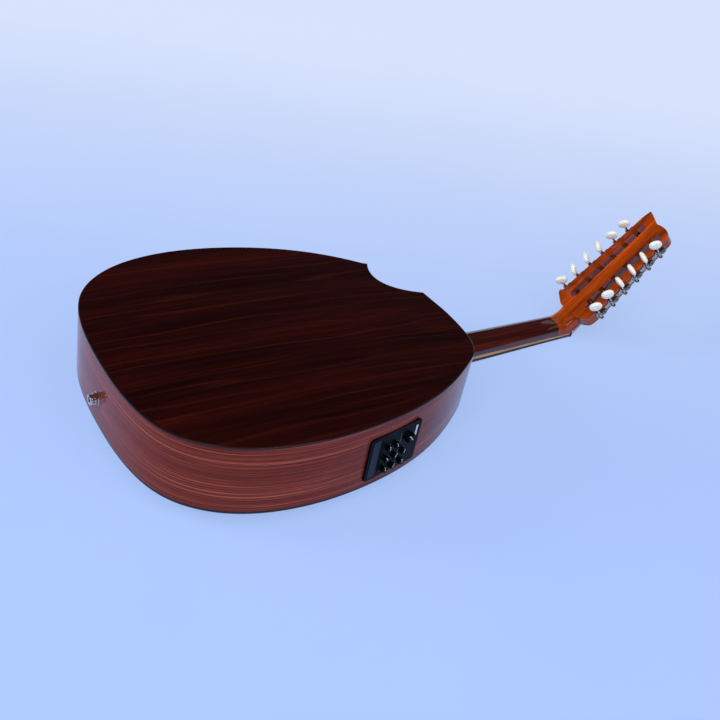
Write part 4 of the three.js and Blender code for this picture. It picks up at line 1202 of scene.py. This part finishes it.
def make_rollers():
    hub = turned(GEAR_HUB, 24)
    head = moved(screw(*GEAR_SCREW), Matrix.Translation((0, 0, GEAR_HUB[-1][1])))
    for word, side in SIDES.items():
        face = side_frame(side)
        for count in range(TUNERS):
            number = f"{word}_{count + 1}"
            body = f"string_roller_{number}_body"
            place = roller_place(count)
            across = Matrix.Rotation(side * -math.pi / 2, 4, "X")
            matrix = face @ Matrix.Translation((place, side * GEAR_CENTRE, ROLLER_HEIGHT)) @ across
            reach = HEAD_HALF_WIDTH - HEAD_TAPER * place - ROLLER_END
            shaft = turned([
                *lifted(ROLLER_TIP, -reach - GEAR_CENTRE), *lifted(ROLLER_SHOULDER, -GEAR_CENTRE),
                (ROLLER_RADIUS, -GEAR_WIDTH / 2), (0, -GEAR_WIDTH / 2)
            ], 24)
            made(f"roller_{number}", gathered(shaft, hub, head), matrix, "turned_steel",
                 body, "steel", f"string_roller_{number}")
            made(f"gear_{number}", gear(), matrix, "cut_brass", body, "steel")
            gap = SLOT_INNER + (SLOT_OUTER - SLOT_INNER) * (COURSE_SHARE + COURSE_STEP_SHARE * count)
            centre = gap - HEAD_HALF_WIDTH + HEAD_TAPER * place - GEAR_CENTRE - WINDING_OFFSET
            winding = coil(ROLLER_WAIST + STRING_RADIUS, STRING_RADIUS, centre, WINDING_TURNS)
            made(f"winding_{number}", winding, matrix, "wound_bronze", body, "string_metal")


def worm(rows=44, sides=28):
    """A worm round z: one thread that climbs a pitch of the gear in each turn."""
    steepness, fullness = 2.6, 0.7
    pitch = 2 * math.pi * (GEAR_RADIUS + GEAR_ROOT) / 2 / GEAR_TEETH
    rings = []
    for row in range(rows + 1):
        height = ROLLER_HEIGHT + (row / rows - 0.5) * WORM_LENGTH
        ring = []
        for k in range(sides):
            turn = 2 * math.pi * k / sides
            phase = (height / pitch - k / sides) % 1
            ridge = max(0.0, 1 - abs(phase - 0.5) * steepness) ** fullness
            radius = THREAD_FLOOR + THREAD_DEPTH * ridge
            ring.append((radius * math.cos(turn), radius * math.sin(turn), height))
        rings.append(ring)
    return loft(rings)


def button(length, height, thickness, angle, centre, rows=18, sides=32):
    """A flattened oval button with full, slightly square sides."""
    fullness, squareness, edge_power = 2.3, 0.85, 0.8
    rings = []
    for row in range(rows + 1):
        rise = math.sin(math.pi * (row / rows - 0.5))
        width = max(0.02, (1 - abs(rise) ** fullness) ** (1 / fullness))
        ring = []
        for k in range(sides):
            turn = 2 * math.pi * k / sides
            x = length / 2 * width * signed_power(math.cos(turn), squareness)
            y = thickness / 2 * width ** edge_power * signed_power(math.sin(turn), squareness)
            ring.append((
                x * math.cos(angle) - y * math.sin(angle), x * math.sin(angle) + y * math.cos(angle),
                centre + height / 2 * rise
            ))
        rings.append(ring)
    return loft(rings)


def make_keys():
    cap = EAR_HEIGHTS[0] - RUNNING
    collar = EAR_HEIGHTS[1] + EAR_THICKNESS + RUNNING
    height = in_mm("button_height")
    shaft = turned([
        *lifted(KEY_CAP, cap), (SHAFT_RADIUS, cap), (SHAFT_RADIUS, collar), *lifted(KEY_COLLAR, collar),
        *lifted(KEY_FERRULE, BUTTON_MIDDLE - height / 2)
    ], 24)
    for word, side in SIDES.items():
        face = side_frame(side)
        for count, angle in enumerate(BUTTON_ANGLES[word]):
            number = f"{word}_{count + 1}"
            body = f"tuner_key_{number}_body"
            matrix = face @ Matrix.Translation((roller_place(count) - WORM_OFFSET, side * GEAR_CENTRE, 0))
            made(f"worm_shaft_{number}", gathered(shaft, worm()), matrix, "nickel_plate",
                 body, "nickel", f"tuner_key_{number}", sharp=45)
            oval = button(
                in_mm("button_length"), height, in_mm("button_thickness"), math.radians(angle), BUTTON_MIDDLE
            )
            made(f"button_{number}", oval, matrix, "moulded_pearloid", body, "pearl", sharp=60)


def ear(steps=12):
    """One bearing of a worm, round-ended, from the plate outwards."""
    half = EAR_WIDTH / 2
    centre = PLATE_FACE + EAR_REACH - half
    outline = [(-half, PLATE_THICKNESS), (half, PLATE_THICKNESS), (half, centre)]
    for k in range(1, steps + 1):
        turn = math.pi * k / steps
        outline.append((half * math.cos(turn), centre + half * math.sin(turn)))
    return loft([[(x, y, height) for x, y in outline] for height in (0, EAR_THICKNESS)])


def plate(steps=240):
    """A plate along the head and off its string side: wide at each worm and narrow between them."""
    worms = [roller_place(count) - WORM_OFFSET for count in range(TUNERS)]
    first, last = worms[0] - PLATE_BEFORE_WORM, roller_place(TUNERS - 1) + PLATE_PAST_ROLLER
    top = []
    for step in range(steps + 1):
        x = first + (last - first) * step / steps
        away = min(abs(x - worm_place) for worm_place in worms)
        share = min(1, max(0, (away - PLATE_LOBE) / PLATE_BLEND))
        half = PLATE_HALF_WIDTH - PLATE_WAIST_DEPTH * share * share * (3 - 2 * share)
        end = min(1, (min(x - first, last - x) + 0.02) / PLATE_END_ROUNDING)
        top.append((x, half * math.sqrt(1 - (1 - end) ** 2)))
    outline = [(x, ROLLER_HEIGHT + half) for x, half in top]
    outline += [(x, ROLLER_HEIGHT - half) for x, half in top[::-1]]
    return loft([[(x, out, height) for x, height in outline] for out in (SEAT, PLATE_FACE)])


def make_plates():
    outwards = Matrix.Rotation(-math.pi / 2, 4, "X")
    for word, side in SIDES.items():
        face = side_frame(side) @ Matrix.Scale(side, 4, (0, 1, 0))
        parts, heads = [plate()], []
        for count in range(TUNERS):
            place = roller_place(count)
            for height in EAR_HEIGHTS:
                parts.append(moved(ear(), Matrix.Translation((place - WORM_OFFSET, 0, height))))
            if count < TUNERS - 1:
                seat = Matrix.Translation((place + PLATE_SCREW_OFFSET, PLATE_FACE, ROLLER_HEIGHT))
                turn = Matrix.Rotation(PLATE_SCREW_TURN * count, 4, "Z")
                heads.append(moved(screw(*PLATE_SCREW), seat @ outwards @ turn))
        # The plates carry the painted reflection of the orange head in their darker, browner nickel.
        made(f"stamped_plate_{word}", gathered(*parts), face, "dulled_nickel_plate",
             "instrument", "nickel", f"machine_plate_{word}", rounding=(in_mm("metal_rounding"),))
        made(f"plate_screws_{word}", gathered(*heads), face, "nickel_plate", "instrument", "nickel")


def dial(radius, height, flutes):
    """A fluted knob round z with a dished top, on its stem."""
    bevel, flute_depth = 0.2, 0.045
    # Each step of its profile is a share of the radius, a height and a share of the flutes' depth.
    profile = (
        (0.97, KNOB_LIFT, 1), (1, KNOB_LIFT + bevel, 1), (0.95, height * 0.62, 1), (0.9, height * 0.86, 1),
        (0.84, height * 0.97, 0.4), (0.74, height, 0), (0.62, height - 0.25, 0), (0.02, height - 0.35, 0)
    )
    steps = flutes * 4
    rings = []
    for reach, level, depth in profile:
        ring = []
        for k in range(steps):
            turn = 2 * math.pi * k / steps
            groove = flute_depth * depth if k % 4 in (0, 1) else 0
            out = radius * (reach - groove)
            ring.append((out * math.cos(turn), out * math.sin(turn), level))
        rings.append(ring)
    stem = turned([(STEM_RADIUS, -STEM_LENGTH), (STEM_RADIUS, KNOB_LIFT + 0.1)], 16)
    return gathered(loft(rings), stem)


def pointer(radius, height):
    """The line on a knob, from near its middle over its edge, that shows where it is turned to."""
    half, depth = radius * 0.07, 0.5
    line = (
        (-radius * 0.3, height - 0.2), (radius * 0.66, height - 0.05), (radius * 0.8, height + 0.02),
        (radius * 0.93, height * 0.84)
    )
    return loft([[(x, -half, z - depth), (x, half, z - depth), (x, half, z), (x, -half, z)] for x, z in line])


def block(left, right, low, high, proud):
    """Points and faces of a flat block on the panel's face, in the panel's frame."""
    corners = ((left, low), (right, low), (right, high), (left, high))
    return loft([[(x, y, z) for x, z in corners] for y in (BLOCK_SINK, -proud)])


def knob_places():
    """Each knob's node, its place along the panel and up it, and its radius, height and number of flutes."""
    small = [(x, z, *SMALL_KNOB) for z in KNOB_ROWS for x in KNOB_COLUMNS][:-1]
    named = [(f"preamp_knob_{count + 1}", *place) for count, place in enumerate(small)]
    return [*named, ("volume_knob", *VOLUME_PLACE, *VOLUME_KNOB)]


def make_preamp():
    small = in_mm("plastic_rounding")
    for node, name, body in (
        ("preamp_housing", "preamp_case", "instrument"), ("battery_tray", "drawer_tray", "battery_drawer")
    ):
        drawn_over(node, name, "moulded_black_abs", small, body, "black_plastic", 3)
    drawn_over("battery", "battery_cell", "painted_case", 1.2, "battery_drawer", "battery_case", 3)
    upright = Matrix.Rotation(math.pi / 2, 4, "X")
    for count, (node, x, z, radius, height, flutes) in enumerate(knob_places()):
        matrix = PANEL @ Matrix.Translation((x, 0, z)) @ upright
        made(f"dial_{count + 1}", dial(radius, height, flutes), matrix, "moulded_black_abs",
             f"{node}_body", "black_plastic", node, sharp=40)
        line = matrix @ turn_about("Z", POINTER_ANGLES[count])
        made(f"pointer_{count + 1}", pointer(radius, height - 0.02), line, "white_print",
             f"{node}_body", "black_plastic")
    # The drawer's front has a polished raised strip, whose blue is a painted reflection, and a ridge to pull
    # it by. The label stays bare.
    for name, place, finish, body, rounding in (
        ("drawer_strip", DRAWER_STRIP, "polished_black_abs", "battery_drawer", (0.4, 3)),
        ("drawer_pull", DRAWER_PULL, "moulded_black_abs", "battery_drawer", (0.3, 3)),
        ("bare_label", BARE_LABEL, "white_print", "instrument", ()),
    ):
        made(name, block(*place), PANEL, finish, body, "black_plastic", rounding=rounding)
    make_scales()


def make_scales():
    """Printed scales: a fine line between two columns, and ticks round each knob over its travel."""
    upright = Matrix.Rotation(math.pi / 2, 4, "X")
    marks = [block(*SCALE_LINE)]
    for node, x, z, radius, height, flutes in knob_places():
        near, far = radius + TICK_GAP, radius + TICK_GAP + TICK_LENGTH
        half = TICK_HALF_WIDTH
        tick = loft([
            [(near, -half, rise), (near, half, rise), (far, half, rise), (far, -half, rise)]
            for rise in TICK_LEVELS
        ])
        for step in range(TICKS):
            turn = turn_about("Z", KNOB_START - KNOB_TRAVEL * step / (TICKS - 1))
            marks.append(moved(tick, Matrix.Translation((x, 0, z)) @ upright @ turn))
    made("printed_scales", gathered(*marks), PANEL, "grey_print", "instrument", "black_plastic")


def hexagon(radius, low, high):
    """A nut's body with bevelled corners."""
    bevel, inner_share = 0.35, 0.96
    steps = ((low, inner_share), (low + bevel, 1), (high - bevel, 1), (high, inner_share))
    return loft([circle(radius * scale, height, 6) for height, scale in steps])


def make_jack():
    matrix = INSTRUMENT @ Matrix.Translation((0, 0, JACK_HEIGHT)) @ Matrix.Rotation(math.pi / 2, 4, "Y")
    washer = turned(JACK_WASHER, 48)
    nut = hexagon(JACK_NUT_RADIUS, *JACK_NUT_PLACES)
    bottom = (JACK_BORE, JACK_BORE_DEPTH)
    barrel = turned([bottom, (JACK_RADIUS, JACK_BORE_DEPTH), *JACK_NOSE, bottom], 48)
    tube = turned([
        (0, JACK_BORE_DEPTH), (JACK_RADIUS, JACK_BORE_DEPTH), (JACK_RADIUS, JACK_INSIDE), (0, JACK_INSIDE)
    ], 32)
    made("end_jack", gathered(washer, nut, barrel, tube), matrix, "nickel_plate",
         "instrument", "nickel", "output_jack", sharp=30)


def paint(node, finish):
    """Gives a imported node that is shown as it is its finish."""
    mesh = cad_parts[node].data
    mesh.materials.clear()
    mesh.materials.append(bpy.data.materials[finish])


def make_strings_and_bridge():
    drawn_over("bridge", "ebony_bridge", "oiled_ebony", 0.6, "instrument", "ebony", 3)
    drawn_over("saddle", "bone_saddle", "polished_bone", 0.5, "instrument", "bone", 3)
    for count in range(TUNERS):
        paint(f"string_course_{count + 1}", "wound_bronze")


def make_inside():
    for node in ("front_bracing", "back_bracing"):
        paint(node, "bare_spruce")
    for node in ("tail_block", "neck_block"):
        paint(node, "bare_mahogany")


# Stage


def make_stage():
    make_floor()
    scene = bpy.context.scene
    world = bpy.data.worlds.new("studio")
    scene.world = world
    world.use_nodes = True
    background = world.node_tree.nodes["Background"]
    background.inputs["Color"].default_value = [*linear(WORLD_COLOUR), 1]
    background.inputs["Strength"].default_value = WORLD_STRENGTH
    for name, place, width, depth, power in LAMPS:
        light = bpy.data.lights.new(name, "AREA")
        light.shape = "RECTANGLE"
        light.size = width
        light.size_y = depth
        light.energy = power
        lamp = bpy.data.objects.new(name, light)
        lamp.location = place
        lamp.visible_glossy = depth < WIDE_LAMP
        lamp.rotation_euler = (Vector(LAMP_TARGET) - Vector(place)).to_track_quat("-Z", "Y").to_euler()
        scene.collection.objects.link(lamp)
    scene.view_settings.view_transform = "Standard"
    place_camera()


def make_floor():
    """A round floor whose rim curves up to a low backdrop."""
    half = sizes().floor_size / 2
    rings = []
    for share in FLOOR_SHARES:
        rise = sizes().backdrop_height * max(0, (share - RISE_SHARE) / (1 - RISE_SHARE)) ** 2
        rings.append(circle(half * share, rise, ROUND_STEPS))
    points, faces = loft(rings, capped=False)
    faces.append(tuple(range(ROUND_STEPS)))
    mesh_piece("floor", points, faces, Matrix.Identity(4), "painted_floor")


def place_camera():
    """The camera stands where the photograph's perspective says, measured in the instrument's frame."""
    level = math.cos(CAMERA_PITCH)
    forward = Vector((math.sin(CAMERA_YAW) * level, math.cos(CAMERA_YAW) * level, -math.sin(CAMERA_PITCH)))
    right = forward.cross(Vector((0, 0, 1))).normalized()
    up = right.cross(forward)
    turned_right = right * math.cos(CAMERA_ROLL) + up * math.sin(CAMERA_ROLL)
    turned_up = up * math.cos(CAMERA_ROLL) - right * math.sin(CAMERA_ROLL)
    axes = Matrix((turned_right, turned_up, -forward)).transposed()
    rest = INSTRUMENT.to_3x3() @ Matrix.Scale(1 / MM, 3)
    camera_data = bpy.data.cameras.new("camera")
    camera_data.sensor_width = SENSOR
    camera_data.lens = FOCAL_PIXELS / PICTURE_PIXELS * SENSOR
    camera_data.clip_end = CLIP_END
    camera = bpy.data.objects.new("camera", camera_data)
    place = INSTRUMENT @ Vector(CAMERA_PLACE)
    camera.matrix_world = Matrix.Translation(place) @ (rest @ axes).to_4x4()
    bpy.context.scene.collection.objects.link(camera)
    bpy.context.scene.camera = camera


# Operators, panel and registration


class OUD_OT_finishes(bpy.types.Operator):
    """Makes the materials."""

    bl_idname = "oud.finishes"
    bl_label = "Finishes"

    def execute(self, context):
        make_finishes()
        return {"FINISHED"}


class OUD_OT_back(bpy.types.Operator):
    """Builds the arched back and its edging."""

    bl_idname = "oud.back"
    bl_label = "Back"

    def execute(self, context):
        make_back()
        return {"FINISHED"}


class OUD_OT_sides(bpy.types.Operator):
    """Builds the bent sides."""

    bl_idname = "oud.sides"
    bl_label = "Sides"

    def execute(self, context):
        make_sides()
        return {"FINISHED"}


class OUD_OT_soundboard(bpy.types.Operator):
    """Builds the soundboard, its edging and its rosette."""

    bl_idname = "oud.soundboard"
    bl_label = "Soundboard"

    def execute(self, context):
        make_soundboard()
        return {"FINISHED"}


class OUD_OT_neck(bpy.types.Operator):
    """Builds the neck, its strip, the fingerboard and the nut."""

    bl_idname = "oud.neck"
    bl_label = "Neck"

    def execute(self, context):
        make_neck()
        return {"FINISHED"}


class OUD_OT_head(bpy.types.Operator):
    """Carves the head and the handle that joins it to the neck."""

    bl_idname = "oud.head"
    bl_label = "Head"

    def execute(self, context):
        make_head()
        return {"FINISHED"}


class OUD_OT_plates(bpy.types.Operator):
    """Builds the plates of the tuning machines and their screws."""

    bl_idname = "oud.plates"
    bl_label = "Machine plates"

    def execute(self, context):
        make_plates()
        return {"FINISHED"}


class OUD_OT_rollers(bpy.types.Operator):
    """Builds the string rollers with their gears and windings."""

    bl_idname = "oud.rollers"
    bl_label = "Rollers"

    def execute(self, context):
        make_rollers()
        return {"FINISHED"}


class OUD_OT_keys(bpy.types.Operator):
    """Builds the worms with their shafts and buttons."""

    bl_idname = "oud.keys"
    bl_label = "Tuner keys"

    def execute(self, context):
        make_keys()
        return {"FINISHED"}


class OUD_OT_preamp(bpy.types.Operator):
    """Builds the preamp's case, drawer, battery and knobs."""

    bl_idname = "oud.preamp"
    bl_label = "Preamp"

    def execute(self, context):
        make_preamp()
        return {"FINISHED"}


class OUD_OT_jack(bpy.types.Operator):
    """Builds the output jack."""

    bl_idname = "oud.jack"
    bl_label = "Jack"

    def execute(self, context):
        make_jack()
        return {"FINISHED"}


class OUD_OT_strings(bpy.types.Operator):
    """Finishes the strings and builds the bridge."""

    bl_idname = "oud.strings"
    bl_label = "Strings and bridge"

    def execute(self, context):
        make_strings_and_bridge()
        return {"FINISHED"}


class OUD_OT_inside(bpy.types.Operator):
    """Finishes the bars, linings and blocks."""

    bl_idname = "oud.inside"
    bl_label = "Inside"

    def execute(self, context):
        make_inside()
        return {"FINISHED"}


class OUD_OT_stage(bpy.types.Operator):
    """Builds the floor, the lamps and the camera."""

    bl_idname = "oud.stage"
    bl_label = "Stage"

    def execute(self, context):
        make_stage()
        return {"FINISHED"}


OPERATORS = (
    OUD_OT_finishes, OUD_OT_back, OUD_OT_sides, OUD_OT_soundboard, OUD_OT_neck,
    OUD_OT_head, OUD_OT_plates, OUD_OT_rollers, OUD_OT_keys, OUD_OT_preamp,
    OUD_OT_jack, OUD_OT_strings, OUD_OT_inside, OUD_OT_stage,
)


class OUD_PT_builder(bpy.types.Panel):
    """Lists the pieces, their sizes and their colours."""

    bl_idname = "OUD_PT_builder"
    bl_label = "Electric oud"
    bl_space_type = "VIEW_3D"
    bl_region_type = "UI"
    bl_category = "Oud"

    def draw(self, context):
        for kind in OPERATORS:
            self.layout.operator(kind.bl_idname)
        for group in (context.scene.oud_sizes, context.scene.oud_colours):
            for name in group.__annotations__:
                self.layout.prop(group, name)


CLASSES = (OudSizes, OudColours, *OPERATORS, OUD_PT_builder)


def register():
    for kind in CLASSES:
        bpy.utils.register_class(kind)
    bpy.types.Scene.oud_sizes = bpy.props.PointerProperty(type=OudSizes)
    bpy.types.Scene.oud_colours = bpy.props.PointerProperty(type=OudColours)


def unregister():
    del bpy.types.Scene.oud_colours
    del bpy.types.Scene.oud_sizes
    for kind in reversed(CLASSES):
        bpy.utils.unregister_class(kind)


def main():
    register()
    for kind in OPERATORS:
        group, name = kind.bl_idname.split(".")
        getattr(getattr(bpy.ops, group), name)()


if __name__ == "__main__":
    main()
